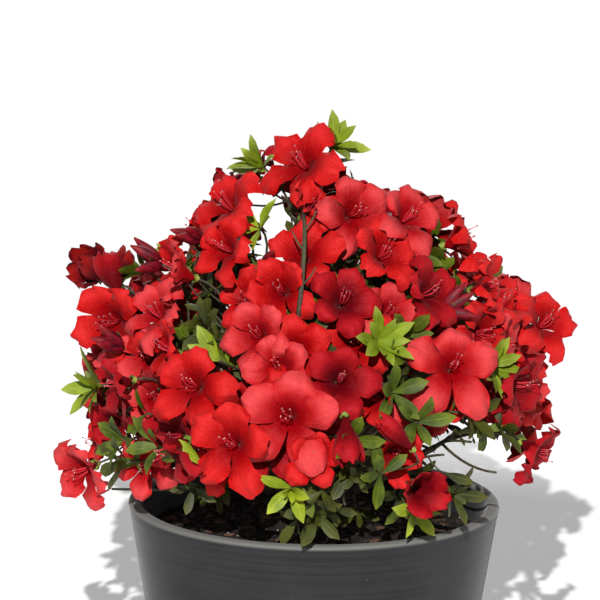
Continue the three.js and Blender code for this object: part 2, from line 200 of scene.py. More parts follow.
mottle, recipe, taken, given = new_group(
    "Mottle",
    {"Place": VECTOR, "Scale": FLOAT, "Low": FLOAT, "High": FLOAT},
    {"Mask": FLOAT, "Noise": FLOAT},
)
place = {"Vector": taken.outputs["Place"], "Scale": taken.outputs["Scale"]}
cloud = recipe.add("ShaderNodeTexNoise", {**place, "Detail": 4.0, "Roughness": 0.6})
mask = recipe.between(cloud.outputs["Fac"], taken.outputs["Low"], taken.outputs["High"])
recipe.tree.links.new(mask, given.inputs["Mask"])
recipe.tree.links.new(cloud.outputs["Fac"], given.inputs["Noise"])

# Veins fan out along a petal or leaf: the noise is stretched along it, and repeats across it
VEIN_LUCK = 40.0
veins, recipe, taken, given = new_group(
    "Veins", {"Blade": VECTOR, "Across": FLOAT, "Along": FLOAT}, {"Mask": FLOAT}
)
parts = recipe.apart(taken.outputs["Blade"])
stretched = {
    0: recipe.times(parts[0], taken.outputs["Across"]),
    1: recipe.times(parts[1], taken.outputs["Along"]),
    2: recipe.times(parts[2], VEIN_LUCK),
}
spread_out = recipe.add("ShaderNodeCombineXYZ", stretched).outputs[0]
fine = recipe.add("ShaderNodeTexNoise", {"Vector": spread_out, "Scale": 1.0, "Detail": 3.0})
recipe.tree.links.new(recipe.between(fine.outputs["Fac"], 0.42, 0.62), given.inputs["Mask"])


def mottling(recipe, place, scale, low=0.35, high=0.65):
    """Places the mottling in a material, and gives its mask and its bare noise."""
    node = recipe.add("ShaderNodeGroup", node_tree=mottle)
    recipe.tree.links.new(place, node.inputs["Place"])
    for socket, value in {"Scale": scale, "Low": low, "High": high}.items():
        node.inputs[socket].default_value = value
    return node.outputs["Mask"], node.outputs["Noise"]


def object_place(recipe, stretch=(1, 1, 1)):
    """Object coordinates, in metres, stretched along the three axes."""
    place = recipe.add("ShaderNodeTexCoord").outputs["Object"]
    return recipe.stretched(place, stretch)


print("Shared effects:", mottle.name, "and", veins.name)

# %% [markdown]
# ## The pot
#
# A tapered round planter of dark fibre clay: the mould leaves faint level lines on its wall, fine pale
# specks show in the clay, and its lip is softly rounded. It could be a cylinder with its top inset. A
# turned profile is better, because one line gives the foot's edge, the taper, the lip and the inside at
# once, and the seam closes when the spin merges its ends. The drain holes are cut with a Boolean, which
# is applied.

# %% The pot's profile
POT = {"rim": 125, "foot": 96, "height": RIM, "wall": 8.5, "floor": 9, "lip": 3.0, "edge": 2.0,
       "steps": 144}
POT_SLOPE = (POT["rim"] - POT["foot"]) / POT["height"]
# How many points each stretch of the outline has, and how far from its ends they stop
OUTER_WALL = {"points": 9, "over_edge": 8, "under_lip": 6}
LIP = {"points": 13, "fullness": 0.8}
INNER_WALL = {"points": 8, "under_lip": 8, "over_floor": 3}


def inside_radius(z):
    """The pot's inside radius at a height."""
    return POT["foot"] + POT_SLOPE * z - POT["wall"]


def pot_profile():
    """The pot's outline, from the middle of its underside, over the lip, to the middle of its floor."""
    foot = POT["foot"]
    edge = POT["edge"]
    points = [(0, 0), (foot * 0.5, 0), (foot - edge, 0), (foot - edge * 0.35, edge * 0.25), (foot, edge)]
    top = POT["height"] - POT["lip"]
    low = edge + OUTER_WALL["over_edge"]
    heights = np.linspace(low, top - OUTER_WALL["under_lip"], OUTER_WALL["points"])
    points += [(foot + POT_SLOPE * z, z) for z in heights]
    half = POT["wall"] / 2
    for turn in np.linspace(0, math.pi, LIP["points"]):
        rise = POT["lip"] * math.sin(turn) ** LIP["fullness"]
        points.append((POT["rim"] - half + half * math.cos(turn), top + rise))
    low = POT["floor"] + INNER_WALL["over_floor"]
    heights = np.linspace(top - INNER_WALL["under_lip"], low, INNER_WALL["points"])
    points += [(inside_radius(z), z) for z in heights]
    corner = inside_radius(POT["floor"]) - INNER_WALL["over_floor"]
    return points + [(corner, POT["floor"]), (0, POT["floor"])]


print("The pot's outline has", len(pot_profile()), "points")


# %% Turn the pot
def turned(profile, steps, seam=0.001):
    """A closed solid, turned about the upright axis from a profile that starts and ends on it."""
    form = bmesh.new()
    corners = [form.verts.new((radius, 0, z)) for radius, z in profile]
    edges = [form.edges.new(pair) for pair in zip(corners, corners[1:])]
    bmesh.ops.spin(
        form, geom=corners + edges, cent=(0, 0, 0), axis=(0, 0, 1), angle=TURN, steps=steps, use_merge=True
    )
    bmesh.ops.remove_doubles(form, verts=form.verts, dist=seam)
    return form


uncut_pot = mesh_from(turned(pot_profile(), POT["steps"]), "uncut_pot")
print("Pot", len(uncut_pot.polygons), "faces")

# %% Cut the drain holes
DRAIN = {"holes": 4, "radius": 6, "ring": 52, "sides": 28, "depth": 4 * POT["floor"]}


def cut_away(mesh, form):
    """Cuts a closed form from a closed mesh with a Boolean, and gives the new mesh."""
    whole = bpy.data.objects.new("whole", mesh)
    cutter = bpy.data.objects.new("cutter", mesh_from(form, "cutter"))
    for part in (whole, cutter):
        scene.collection.objects.link(part)
    cut = whole.modifiers.new("cut", "BOOLEAN")
    cut.operation = "DIFFERENCE"
    cut.solver = "EXACT"
    cut.object = cutter
    done = bpy.data.meshes.new_from_object(whole.evaluated_get(bpy.context.evaluated_depsgraph_get()))
    for part in (whole, cutter):
        bpy.data.objects.remove(part)
    return done


drills = bmesh.new()
for hole in range(DRAIN["holes"]):
    turn = hole / DRAIN["holes"] * TURN
    at = Matrix.Translation((DRAIN["ring"] * math.cos(turn), DRAIN["ring"] * math.sin(turn), 0))
    round_cut = {"segments": DRAIN["sides"], "radius1": DRAIN["radius"], "radius2": DRAIN["radius"]}
    bmesh.ops.create_cone(drills, cap_ends=True, depth=DRAIN["depth"], matrix=at, **round_cut)
pot_mesh = cut_away(uncut_pot, drills)
pot_mesh.name = "fibre_clay_pot"
print("Pot with drain holes", len(pot_mesh.polygons), "faces")

# %% [markdown]
# ## The pot's finish
#
# Fibre clay is cast in a mould and brushed while it sets, so its marks run level round the wall. The
# noise is squeezed a hundredfold in height to give those lines. Larger clouds vary the grey, and a
# Voronoi pattern with very small cells gives the pale specks.

# %% Slate grey fibre clay
LINE_SQUEEZE = (4, 4, 420)
SPECKS = {"scale": 300.0, "edge": (0.16, 0.08), "chosen": (0.95, 0.97)}
# Heights of a painted highlight: a paler band along the rounded lip, where light catches its top
LIP_HIGHLIGHT_BAND = (RIM - 3.6, RIM - 1.2)
fibre_clay, recipe, shader = new_finish(
    "slate fibre clay", linear(34, 35, 36), 0.6,
    Specular_IOR_Level=0.2, Sheen_Weight=0.12, Sheen_Roughness=0.35,
)
clouds, _ = mottling(recipe, object_place(recipe), 14.0, 0.3, 0.72)
lines, line_noise = mottling(recipe, object_place(recipe, LINE_SQUEEZE), 1.0, 0.4, 0.66)
_, grain = mottling(recipe, object_place(recipe), 900.0)
spread_over = {"Vector": object_place(recipe), "Scale": SPECKS["scale"]}
cells = recipe.add("ShaderNodeTexVoronoi", spread_over).outputs
near = recipe.between(cells["Distance"], *SPECKS["edge"])
luck = recipe.add("ShaderNodeSeparateColor", {0: cells["Color"]}).outputs[0]
specks = recipe.times(near, recipe.between(luck, *SPECKS["chosen"]))
grey = recipe.blend(clouds, linear(24, 25, 26), linear(35, 36, 37))
grey = recipe.blend(recipe.times(lines, 0.3), grey, linear(50, 51, 52))
grey = recipe.blend(recipe.times(specks, 0.5), grey, linear(120, 118, 112))
height = recipe.apart(object_place(recipe))[2]
# Painted highlight: the top of the lip is blended to a paler grey
painted_lip_highlight = recipe.between(height, *[z * MM for z in LIP_HIGHLIGHT_BAND])
grey = recipe.blend(recipe.times(painted_lip_highlight, 0.8), grey, linear(112, 112, 108))
rough = recipe.plus(recipe.times(line_noise, 0.25), 0.48)
relief = recipe.plus(recipe.times(line_noise, 0.6), recipe.times(grain, 0.4))
wire(recipe, shader, grey, relief, 0.0007, rough=rough, strength=0.6)
add_piece(pot_mesh, ["pot"], fibre_clay)

# %% [markdown]
# ## The soil
#
# Damp potting mix: dark, crumbly and a little hollow between the trunk and the wall. A disc of
# concentric rings is the ground, pushed up and down by noise. Crumbs, bark chips and a few pale grains
# lie on it. They are small stones of twenty faces each, made once from an icosphere and joined many
# times, because a bump alone looks painted where the light grazes it.

# %% The ground
SOIL = {"drop": 20, "dish": 3, "flat": 60, "clearance": 0.6, "lumps": 1.1, "rings": 46, "steps": 150}
SOIL_TOP = RIM - SOIL["drop"]
SOIL_EDGE = inside_radius(SOIL_TOP - SOIL["dish"]) - SOIL["clearance"]
# How fine each size of lump is, and how high it stands
LUMPS = ((0.16, 1), (0.45, 0.7), (1.1, 0.5))
PLUG = {"over_floor": 0.4, "corner": 3.4, "side": (POT["floor"] + 4, 90, SOIL_TOP - 8)}


def soil_height(x, y):
    """The soil's height: flat in the middle, falling to the wall, with lumps."""
    radius = math.hypot(x, y)
    fall = SOIL["dish"] * max(0.0, (radius - SOIL["flat"]) / (SOIL_EDGE - SOIL["flat"]))
    lumps = sum(high * noise.noise(Vector((x, y, 0)) * fine) for fine, high in LUMPS)
    return SOIL_TOP - fall + SOIL["lumps"] * lumps


def make_soil():
    """A solid plug of soil with a lumpy top."""
    low = POT["floor"] + PLUG["over_floor"]
    side = [(0, low), (inside_radius(low) - PLUG["corner"], low)]
    side += [(inside_radius(z) - SOIL["clearance"], z) for z in PLUG["side"]]
    top = [(SOIL_EDGE * share, SOIL_TOP) for share in np.linspace(1, 0, SOIL["rings"])]
    form = turned(side + top, SOIL["steps"])
    for corner in form.verts:
        if corner.co.z > SOIL_TOP - 1:
            corner.co.z = soil_height(corner.co.x, corner.co.y)
    return mesh_from(form, "potting_mix")


soil_mesh = make_soil()
print("Soil's edge is at radius", round(SOIL_EDGE, 1), "mm")


# %% Many copies of a small shape
class Shape:
    """A small mesh kept as arrays, so that it can be bent, turned and joined many times."""

    def __init__(self, form):
        mesh = mesh_from(form, "shape")
        self.points = np.array([corner.co for corner in mesh.vertices], float)
        self.corners = np.array([loop.vertex_index for loop in mesh.loops], np.int32)
        self.starts = np.array([face.loop_start for face in mesh.polygons], np.int32)
        bpy.data.meshes.remove(mesh)


def joined(name, copies, mark=None):
    """One mesh from copies of shapes. A copy is its shape, its own points, and three numbers for each."""
    mesh = bpy.data.meshes.new(name)
    corners = []
    starts = []
    point_count = 0
    corner_count = 0
    for shape, points, _ in copies:
        corners.append(shape.corners + point_count)
        starts.append(shape.starts + corner_count)
        point_count += len(points)
        corner_count += len(shape.corners)
    mesh.vertices.add(point_count)
    mesh.loops.add(corner_count)
    mesh.polygons.add(sum(len(run) for run in starts))
    mesh.vertices.foreach_set("co", np.concatenate([points for _, points, _ in copies]).ravel())
    mesh.loops.foreach_set("vertex_index", np.concatenate(corners))
    mesh.polygons.foreach_set("loop_start", np.concatenate(starts))
    if mark:
        layer = mesh.attributes.new(mark, "FLOAT_VECTOR", "POINT")
        layer.data.foreach_set("vector", np.concatenate([marks for _, _, marks in copies]).ravel())
    mesh.update(calc_edges=True)
    mesh.validate()
    return mesh


def moved(points, matrix):
    """Points carried by a four by four matrix."""
    matrix = np.array(matrix)
    return points @ matrix[:3, :3].T + matrix[:3, 3]


def ball(radius, squash=lambda corner: None):
    """A ball of twenty faces, whose corners may each be moved."""
    form = bmesh.new()
    bmesh.ops.create_icosphere(form, subdivisions=1, radius=radius)
    for corner in form.verts:
        squash(corner)
    return Shape(form)


print("A ball has", len(ball(1).starts), "faces")


# %% A seeded dice
class Dice:
    """The source's own generator: the same seed always grows the same shoot."""

    FACTOR = 16807
    PRIME = 2147483647

    def __init__(self, seed):
        self.state = seed
        for _ in range(3):
            self.roll()

    def roll(self):
        self.state = self.state * self.FACTOR % self.PRIME
        return self.state / self.PRIME

    def spread(self, size):
        return (self.roll() * 2 - 1) * size

    def shift(self, size):
        return Vector((self.spread(size), self.spread(size), self.spread(size)))

    def among(self, low, high):
        return low + (high - low) * self.roll()


print("The first roll with seed 1 is", round(Dice(1).roll(), 3))

# %% Crumbs, chips and pale grains on the soil
STONES = {
    "soil_crumbs": {"flat": 0.8, "count": 2600, "size": (0.5, 2.0), "long": 1.15, "seed": 411},
    "bark_chips": {"flat": 0.35, "count": 150, "size": (1.3, 3.2), "long": 1.9, "seed": 877},
    "pale_grains": {"flat": 0.9, "count": 60, "size": (0.5, 1.1), "long": 1.0, "seed": 1453},
}
STREWN = {"edge": 0.965, "tilt": 0.5, "sunk": 0.25, "rough": 0.35, "fine": 1.7}


def pebble(flat):
    """A rough stone, flattened in height."""
    def squash(corner):
        corner.co *= 1 + STREWN["rough"] * noise.noise(corner.co * STREWN["fine"])
        corner.co.z *= flat
    return ball(1, squash)


def scattered(name, flat, count, size, long, seed):
    """Copies of a stone strewn over the soil, each sunk a little into it."""
    dice = Dice(seed)
    shape = pebble(flat)
    copies = []
    for _ in range(count):
        radius = SOIL_EDGE * STREWN["edge"] * math.sqrt(dice.roll())
        turn = dice.among(0, TURN)
        x = radius * math.cos(turn)
        y = radius * math.sin(turn)
        width = dice.among(*size)
        turned_by = Matrix.Rotation(dice.among(0, ANY_TURN), 4, "Z")
        turned_by = turned_by @ Matrix.Rotation(dice.spread(STREWN["tilt"]), 4, "X")
        stretch = Matrix.Diagonal((width * long, width, width, 1))
        at = Matrix.Translation((x, y, soil_height(x, y) + STREWN["sunk"] * width))
        copies.append((shape, moved(shape.points, at @ turned_by @ stretch), None))
    return joined(name, copies)


crumbs, chips, grains = (scattered(name, **stone) for name, stone in STONES.items())
print(len(crumbs.polygons) // 20, "crumbs")

# %% Damp potting mix
damp_mix, recipe, shader = new_finish("damp potting mix", linear(26, 20, 15), 0.9, Specular_IOR_Level=0.3)
patches, patch_noise = mottling(recipe, object_place(recipe), 120.0, 0.4, 0.7)
_, grit = mottling(recipe, object_place(recipe), 700.0)
earth = recipe.blend(patches, linear(17, 13, 10), linear(46, 35, 26))
wire(recipe, shader, earth, recipe.plus(patch_noise, recipe.times(grit, 0.6)), 0.002)
add_piece(soil_mesh, ["soil"], damp_mix)
add_piece(crumbs, ["soil"], damp_mix, smooth=False)


# %% Chips and pale grains
def mottled_finish(name, tones, rough, clouds, depth, mark=None, **others):
    """A simple finish: a dark and a pale tone in soft clouds, which also give the relief."""
    body, dark, pale = tones
    finish, recipe, shader = new_finish(name, body, rough, **others)
    place = recipe.mark(mark) if mark else object_place(recipe)
    mask, cloud_noise = mottling(recipe, place, *clouds)
    wire(recipe, shader, recipe.blend(mask, dark, pale), cloud_noise, depth)
    return finish


CHIP_TONES = (linear(74, 50, 32), linear(48, 33, 22), linear(98, 68, 46))
GRAIN_TONES = (linear(150, 140, 125), linear(110, 98, 84), linear(188, 180, 166))
chip_brown = mottled_finish("bark chip", CHIP_TONES, 0.85, (200.0, 0.3, 0.7), 0.001)
grain_white = mottled_finish("pale mineral grain", GRAIN_TONES, 0.8, (400.0, 0.3, 0.7), 0.0008)
add_piece(chips, ["soil"], chip_brown, smooth=False)
add_piece(grains, ["soil"], grain_white, smooth=False)

# %% [markdown]
# ## The view of the photograph
#
# The camera comes before the plant, because the plant has to be open where the photograph shows sky
# through it. A camera object could be asked for this, but a lens is only one division: what lies to the
# side, over what lies ahead, times the lens. So a short function gives the place in the picture of any
# point of the model. The outline's rows and the openings are then named places in a picture of 600 by
# 600.

# %% Where a point shows in the picture
VIEW = {"eye": (-11.1, -1556.5, 578.8), "down": 9.44, "roll": 0.7, "lens": 142.08, "sensor": 36.0}
PICTURE = 600
MIDDLE = PICTURE / 2
eye_turn = Matrix.Rotation(math.radians(90 - VIEW["down"]), 3, "X")
eye_turn = eye_turn @ Matrix.Rotation(math.radians(VIEW["roll"]), 3, "Z")
FOCUS = VIEW["lens"] / VIEW["sensor"] * PICTURE


def seen_at(spots):
    """Where points, in millimetres, show in the picture: rows of [right, down] in its own pixels."""
    ahead = (np.atleast_2d(np.array(spots, float)) - np.array(VIEW["eye"])) @ np.array(eye_turn)
    shown = ahead[:, :2] / -ahead[:, 2:] * FOCUS
    return np.column_stack([MIDDLE + shown[:, 0], MIDDLE - shown[:, 1]])


def spot_behind(pixel, depth):
    """The point that shows at a pixel and lies at a depth, which is its y."""
    right, down = pixel
    ray = eye_turn @ Vector(((right - MIDDLE) / FOCUS, (MIDDLE - down) / FOCUS, -1))
    eye = Vector(VIEW["eye"])
    return eye + ray * ((depth - eye.y) / ray.y)


print("The rim's front shows at", seen_at([(0, -125, RIM)]).round(1).tolist())

# %% The outline and the openings that the photograph shows
OUTLINE = {
    "row": [130, 142, 158, 172, 182, 192, 205, 232, 240, 262, 290,
            312, 330, 350, 372, 390, 420, 445, 452, 470, 490],
    "left": [290, 262, 238, 228, 205, 196, 196, 178, 96, 75, 73,
             84, 94, 104, 74, 84, 90, 66, 58, 55, 60],
    "right": [346, 352, 352, 356, 370, 380, 436, 460, 466, 500, 545,
              577, 568, 550, 560, 556, 552, 548, 452, 456, 490],
}
# How far the crown may stand over the first row
OVER_TOP = 4
# Each opening's middle, then half its width and half its height
OPENINGS = {
    "between the left plume and the stem": (261, 216, 21, 36),
    "over the left shoulder": (150, 240, 22, 14),
    "left of the low front": (128, 472, 16, 12),
    "under the right tip": (488, 462, 40, 20),
    "beside the right buds": (447, 309, 5, 5),
    "left of the right tip": (489, 329, 5, 6),
    "right of the top bloom": (364, 166, 7, 10),
    "left of the top bloom": (267, 138, 3, 8),
}


def in_view(spots, room=0.0):
    """Whether every point shows inside the outline, and in none of the openings."""
    across, down = seen_at(spots).T
    left = np.interp(down, OUTLINE["row"], OUTLINE["left"])
    right = np.interp(down, OUTLINE["row"], OUTLINE["right"])
    inside = (across > left + room) & (across < right - room) & (down > OUTLINE["row"][0] - OVER_TOP)
    for middle_x, middle_y, half_x, half_y in OPENINGS.values():
        off = ((across - middle_x) / (half_x + room)) ** 2 + ((down - middle_y) / (half_y + room)) ** 2
        inside &= off > 1
    return bool(inside.all())


print(len(OPENINGS), "openings in the crown")

# %% [markdown]
# ## Where everything grows
#
# The source grows the plant by a rule, and this cell and the next ones write the same rule again. Each
# mass of the crown has its places, seen from the front as [across, up] over the rim. A bough runs from
# the trunk, or from another bough, to the heart of its mass, and a stem goes on from there. A shoot's
# twig leaves the stem and ends at each place in a bloom, in buds or in a whorl of leaves. Because the
# rule is the same, the fine twigs here grow on from the very limbs that the solids have.

# %% The masses seen from the front
KINDS = ("blooms", "buds", "tips")
FRONT_MASSES = [
    {"name": "front", "from": ("trunk", 0.72), "tips": [(-15, 40), (22, 72)],
     "blooms": [(-14, 82, 0, 0, 1.25), (17, 104), (-50, 66, 0, 0, 1.1)]},
    {"name": "top", "from": ("trunk", 1), "tips": [(-43, 232), (12, 246)],
     "blooms": [(-16, 233, 0, 0, 1.15)]},
    {"name": "upper_left", "from": ("top", 0.42), "tips": [(-43, 196)], "buds": [(-86, 187)],
     "blooms": [(-62, 207), (-58, 180)]},
    {"name": "upper_right", "from": ("top", 0.62), "tips": [(66, 178)],
     "blooms": [(22, 205, 0, -15, 1.1), (58, 197), (42, 176)]},
    {"name": "right_shoulder", "from": ("trunk", 0.86), "tips": [(119, 160), (76, 164)],
     "blooms": [(95, 180, 30, 0, 1.1), (110, 152)]},
    {"name": "middle", "from": ("top", 0.28), "tips": [(-36, 150), (4, 132)], "buds": [(-38, 173)],
     "blooms": [(-12, 182), (17, 156), (-20, 156)]},
    {"name": "right_middle", "from": ("right_shoulder", 0.45), "tips": [(60, 132)], "buds": [(90, 147)],
     "blooms": [(72, 151), (45, 150)]},
    {"name": "left_shoulder", "from": ("trunk", 0.86), "tips": [(-74, 134)],
     "blooms": [(-90, 160, -30), (-56, 152, 0, 0, 1.1)]},
    {"name": "left_tip", "from": ("left_shoulder", 0.47), "tips": [(-122, 162)],
     "blooms": [(-133, 131, 45, -15, 1.2), (-145, 158, 50, 0, 1.1)], "buds": [(-136, 112), (-112, 168)]},
    {"name": "upper_front", "from": ("front", 0.45), "tips": [(-65, 117)],
     "blooms": [(-42, 129), (-10, 127), (-26, 110)]},
    {"name": "front_left", "from": ("trunk", 0.56), "tips": [(-76, 52), (-105, 62)],
     "blooms": [(-76, 97, 0, 0, 1.1), (-92, 64, -30, -25, 1.1)]},
    {"name": "left", "from": ("trunk", 0.74), "tips": [(-150, 86), (-115, 78), (-130, 60)],
     "blooms": [(-128, 90, -20, -25), (-106, 118, -15)]},
    {"name": "low_left", "from": ("trunk", 0.4), "tips": [(-130, 46), (-96, 30)],
     "blooms": [(-151, 28, 25, -10, 1.1)]},
    {"name": "right_front", "from": ("trunk", 0.6), "tips": [(42, 129), (50, 99), (104, 84), (66, 82)],
     "blooms": [(84, 108, -25, 0, 1.15)]},
    {"name": "right_tip", "from": ("trunk", 0.78), "tips": [(116, 108)],
     "blooms": [(151, 124, -45, 15, 1), (132, 94, 0, -20, 1.1)]},
    {"name": "low_right", "from": ("trunk", 0.48), "tips": [(103, 66), (122, 44), (124, 72)],
     "blooms": [(144, 56, 0, -25)]},
    {"name": "low_front", "from": ("front", 0.3), "tips": [(20, 28), (42, 52), (0, 20)],
     "buds": [(19, 66), (45, 76)]},
    {"name": "low_front_right", "from": ("trunk", 0.38), "tips": [(67, 20), (84, 62), (92, 30)],
     "blooms": [(66, 46)]},
]
print(len(FRONT_MASSES), "masses in front")

# %% The rings of masses on the far side
BACK_RINGS = [
    {"name": "back_low", "up": 60, "azimuths": [30, 70, 114, 158], "reach": 26, "blooms": 3, "tips": 1,
     "buds": 0, "from": ("trunk", 0.58), "stagger": 0.14, "depth": 1},
    {"name": "back_middle", "up": 108, "azimuths": [40, 90, 140], "reach": 31, "blooms": 3, "tips": 2,
     "buds": 1, "from": ("trunk", 0.72), "stagger": -0.06, "depth": 1},
    {"name": "back_upper", "up": 158, "azimuths": [44, 132], "reach": 28, "blooms": 3, "tips": 2,
     "buds": 0, "from": ("top", 0.36), "stagger": 0.14, "depth": 1},
    {"name": "crest", "up": 196, "azimuths": [80], "reach": 24, "blooms": 4, "tips": 1,
     "buds": 0, "from": ("top", 0.75), "stagger": 0, "depth": 0.5},
]
RING = {"turn": 0.7, "turn_each": 1.1, "size": 1.2, "tip_reach": 0.8, "tip_turn": 0.55, "bud_reach": 0.5,
        "bud_turn": 2}
print(len(BACK_RINGS), "rings on the far side")

# %% The crown's outline
CROWN = {"across": 172, "depth": 158, "wide": 50, "top": 215, "foot": 130, "round": 1.25,
         "across_power": 0.5, "depth_power": 0.95}
CORE = {"up": 35, "steep": 0.5, "heart": 0.62}
WOBBLE = 8


def crown_share(up):
    """How much of the crown's full width is left at a height over the rim."""
    reach = CROWN["top"] if up > CROWN["wide"] else CROWN["foot"]
    return 1 - min(1, abs(up - CROWN["wide"]) / reach) ** CROWN["round"]


def half_across(up):
    return CROWN["across"] * crown_share(up) ** CROWN["across_power"]


def half_depth(up):
    return CROWN["depth"] * crown_share(up) ** CROWN["depth_power"]


def front_place(across, up, turn=0, tilt=0, size=1):
    """A place on the front of the crown: where it is, how its face turns, and its size."""
    inward = math.sqrt(max(0, 1 - (across / half_across(up)) ** 2))
    spot = Vector((across, -inward * half_depth(up), up))
    return {"spot": spot, "turn": turn, "tilt": tilt, "size": size}


def ring_masses(ring, ring_index):
    """The masses of one ring on the far side, with blooms set round the middle of each."""
    carrier, share = ring["from"]
    masses = []
    for index, azimuth in enumerate(ring["azimuths"]):
        first = RING["turn"] * ring_index + RING["turn_each"] * index

        def around(count, reach, phase, azimuth=azimuth):
            places = []
            for k in range(count):
                turn = phase + k / count * TURN
                up = ring["up"] + reach * math.sin(turn)
                angle = math.radians(azimuth) + reach * math.cos(turn) / max(half_across(up), reach)
                deep = half_depth(up) * ring["depth"]
                spot = Vector((half_across(up) * math.cos(angle), deep * math.sin(angle), up))
                places.append({"spot": spot, "turn": 0, "tilt": 0, "size": RING["size"]})
            return places

        masses.append({
            "name": f"{ring['name']}_{index + 1}",
            "from": (carrier, share - ring["stagger"] * (index % 2)),
            "blooms": around(ring["blooms"], ring["reach"], first),
            "buds": around(ring["buds"], ring["reach"] * RING["bud_reach"], first + RING["bud_turn"]),
            "tips": around(ring["tips"], ring["reach"] * RING["tip_reach"], first + RING["tip_turn"]),
        })
    return masses


masses = []
for mass in FRONT_MASSES:
    grown = {kind: [front_place(*place) for place in mass.get(kind, [])] for kind in KINDS}
    masses.append({"name": mass["name"], "from": mass["from"], **grown})
for ring_index, ring in enumerate(BACK_RINGS):
    masses += ring_masses(ring, ring_index)
MASS_NODES = [f"{mass['name']}_mass" for mass in masses]
BOUGH_NODES = [f"{mass['name']}_bough" for mass in masses]
print(len(masses), "masses,", sum(len(mass["blooms"]) for mass in masses), "blooms by the source's rule")

# %% [markdown]
# ## Curves for limbs
#
# Every limb follows a quadratic Bezier curve. The source finds places on it by length along the curve,
# not by the curve's own parameter, so the same is done here. Such a curve lies in one plane, so the
# plane's normal gives a frame along it that never twists, and a straight tube can be bent along it
# without a pinch.

# %% A bend that is measured by length
TRUNK = {"height": 62, "foot": 13, "neck": 8.5, "top": 6.5, "flare": 0.25, "lean": (-3, -6), "sunk": 4}
BOUGH = {"foot": 3.4, "tip": 1.9, "out": 0.5, "rise": 0.22}
SIDE_BOUGH = {"foot": 2.6, "tip": 1.7, "out": 0.2, "along": 0.3}
STEM = {"length": 18, "foot": 1.8, "tip": 1.2}
TWIG = {"foot": 1.0, "tip": 0.8, "bend": 0.45, "lowest": 0.3, "highest": 0.95}
CUT_GAP = 0.4
TRUNK_FOOT = SOIL_TOP + 0.3


def mix(low, high, share):
    return low + (high - low) * share


class Bend:
    """A quadratic Bezier curve, its places found by length along it."""

    STEPS = 201

    def __init__(self, start, middle, end):
        self.start, self.middle, self.end = (np.array(place, float) for place in (start, middle, end))
        self.steps = np.linspace(0, 1, self.STEPS)
        chords = np.linalg.norm(np.diff(self.at(self.steps), axis=0), axis=1)
        self.lengths = np.concatenate([[0.0], np.cumsum(chords)])
        self.length = float(self.lengths[-1])

    def at(self, t):
        t = np.asarray(t, float)[..., None]
        return (1 - t) ** 2 * self.start + 2 * t * (1 - t) * self.middle + t**2 * self.end

    def when(self, share):
        return np.interp(np.asarray(share, float) * self.length, self.lengths, self.steps)

    def spots(self, shares):
        return self.at(self.when(shares))

    def headings(self, shares):
        t = self.when(shares)[..., None]
        heading = (1 - t) * (self.middle - self.start) + t * (self.end - self.middle)
        return heading / np.linalg.norm(heading, axis=-1, keepdims=True)

    def spot(self, share):
        return Vector(self.spots([share])[0])

    def heading(self, share):
        return Vector(self.headings([share])[0])


def straight(start, end):
    return Bend(start, (Vector(start) + Vector(end)) / 2, end)


print("A straight bend of 3 by 4 mm is", round(straight((0, 0, 0), (3, 4, 0)).length), "mm long")


# %% The limbs
def over_rim(spot):
    return Vector((spot.x, spot.y, spot.z + RIM))


def heart_of(mass):
    """A mass's heart lies part of the way from the crown's core to the middle of its places."""
    spots = [place["spot"] for kind in KINDS for place in mass[kind]]
    core = Vector((0, 0, CORE["up"]))
    middle = sum(spots, Vector()) / len(spots)
    return over_rim((middle - core) * CORE["heart"] + core)


def bough_bend(mass, limbs):
    """A bough leaves the trunk low and rises to its mass's heart. Side boughs follow their carrier first."""
    carrier, share = mass["from"]
    start = limbs[carrier].spot(share)
    out = heart_of(mass) - start
    if carrier == "trunk":
        bend = Vector((out.x * BOUGH["out"], out.y * BOUGH["out"], out.z * BOUGH["rise"]))
    else:
        bend = limbs[carrier].heading(share) * out.length * SIDE_BOUGH["along"] + out * SIDE_BOUGH["out"]
    return Bend(start, start + bend, start + out)


lean_x, lean_y = TRUNK["lean"]
limbs = {"trunk": Bend(
    (0, 0, TRUNK_FOOT - TRUNK["sunk"]), (0, 0, TRUNK_FOOT + TRUNK["height"] / 2),
    (lean_x, lean_y, TRUNK_FOOT + TRUNK["height"]),
)}
waiting = list(masses)
while waiting:
    mass = waiting.pop(0)
    if mass["from"][0] in limbs:
        limbs[mass["name"]] = bough_bend(mass, limbs)
    else:
        waiting.append(mass)
stems = {}
for mass in masses:
    tip = limbs[mass["name"]].spot(1)
    ahead = limbs[mass["name"]].heading(1)
    stems[mass["name"]] = straight(tip + ahead * CUT_GAP, tip + ahead * (CUT_GAP + STEM["length"]))
print("Longest bough", round(max(limbs[mass["name"]].length for mass in masses)), "mm")

# %% [markdown]
# ## The shoots
#
# A shoot in the source is tried at its place and, if it would touch a neighbour, sunk a little and
# tried again. That try isn't repeated here, because the solids already show which one was kept. A
# bloom's fifteen rim corners, or a bud's tip, lie exactly on corners of the mass's solid for that try
# and for no other.

# %% Which try of a shoot the source kept
BLOOM = {"petals": 5, "seat": 8.3, "offset": 4, "edge": [(0, 15, -3), (0.3, 26, 0), (0.7, 26, 0)]}
BUD = {"length": 25, "per_cluster": 3, "sink": 0.5, "splay": 0.6}
WHORL = {"leaves": 5, "first": 0.97, "step": 0.024, "lean": 52, "seat": 10}
LOW_LEAF = {"share": 0.5, "turn": 1, "lean": 60}
LEAN_VARY = 14
LEAF_VARY = 0.15
TRIES = {"most": 36, "sink": 1, "nudge": 0.2, "shrink": 0.006}
SEED = {"first": 20731, "per_mass": 1000, "per_shoot": 31}
# What share of a bloom's or a cluster's points has to be found, and how near a whorl's twig ends
FOUND = {"blooms": 0.5, "buds": 0.3, "tips": 0.95}
# What is added here draws from dice of its own: the step from one to the next, and the start
DRAWS = {"tone": (601, 17), "added bloom": (53, 3), "petals": (601, 29), "fine twigs": (7, 5),
         "inner twigs": (11, 0), "leaves": (97, 0), "buds": (71, 0)}


def dice_for(what, number):
    step, start = DRAWS[what]
    return Dice(SEED["first"] + step * number + start)


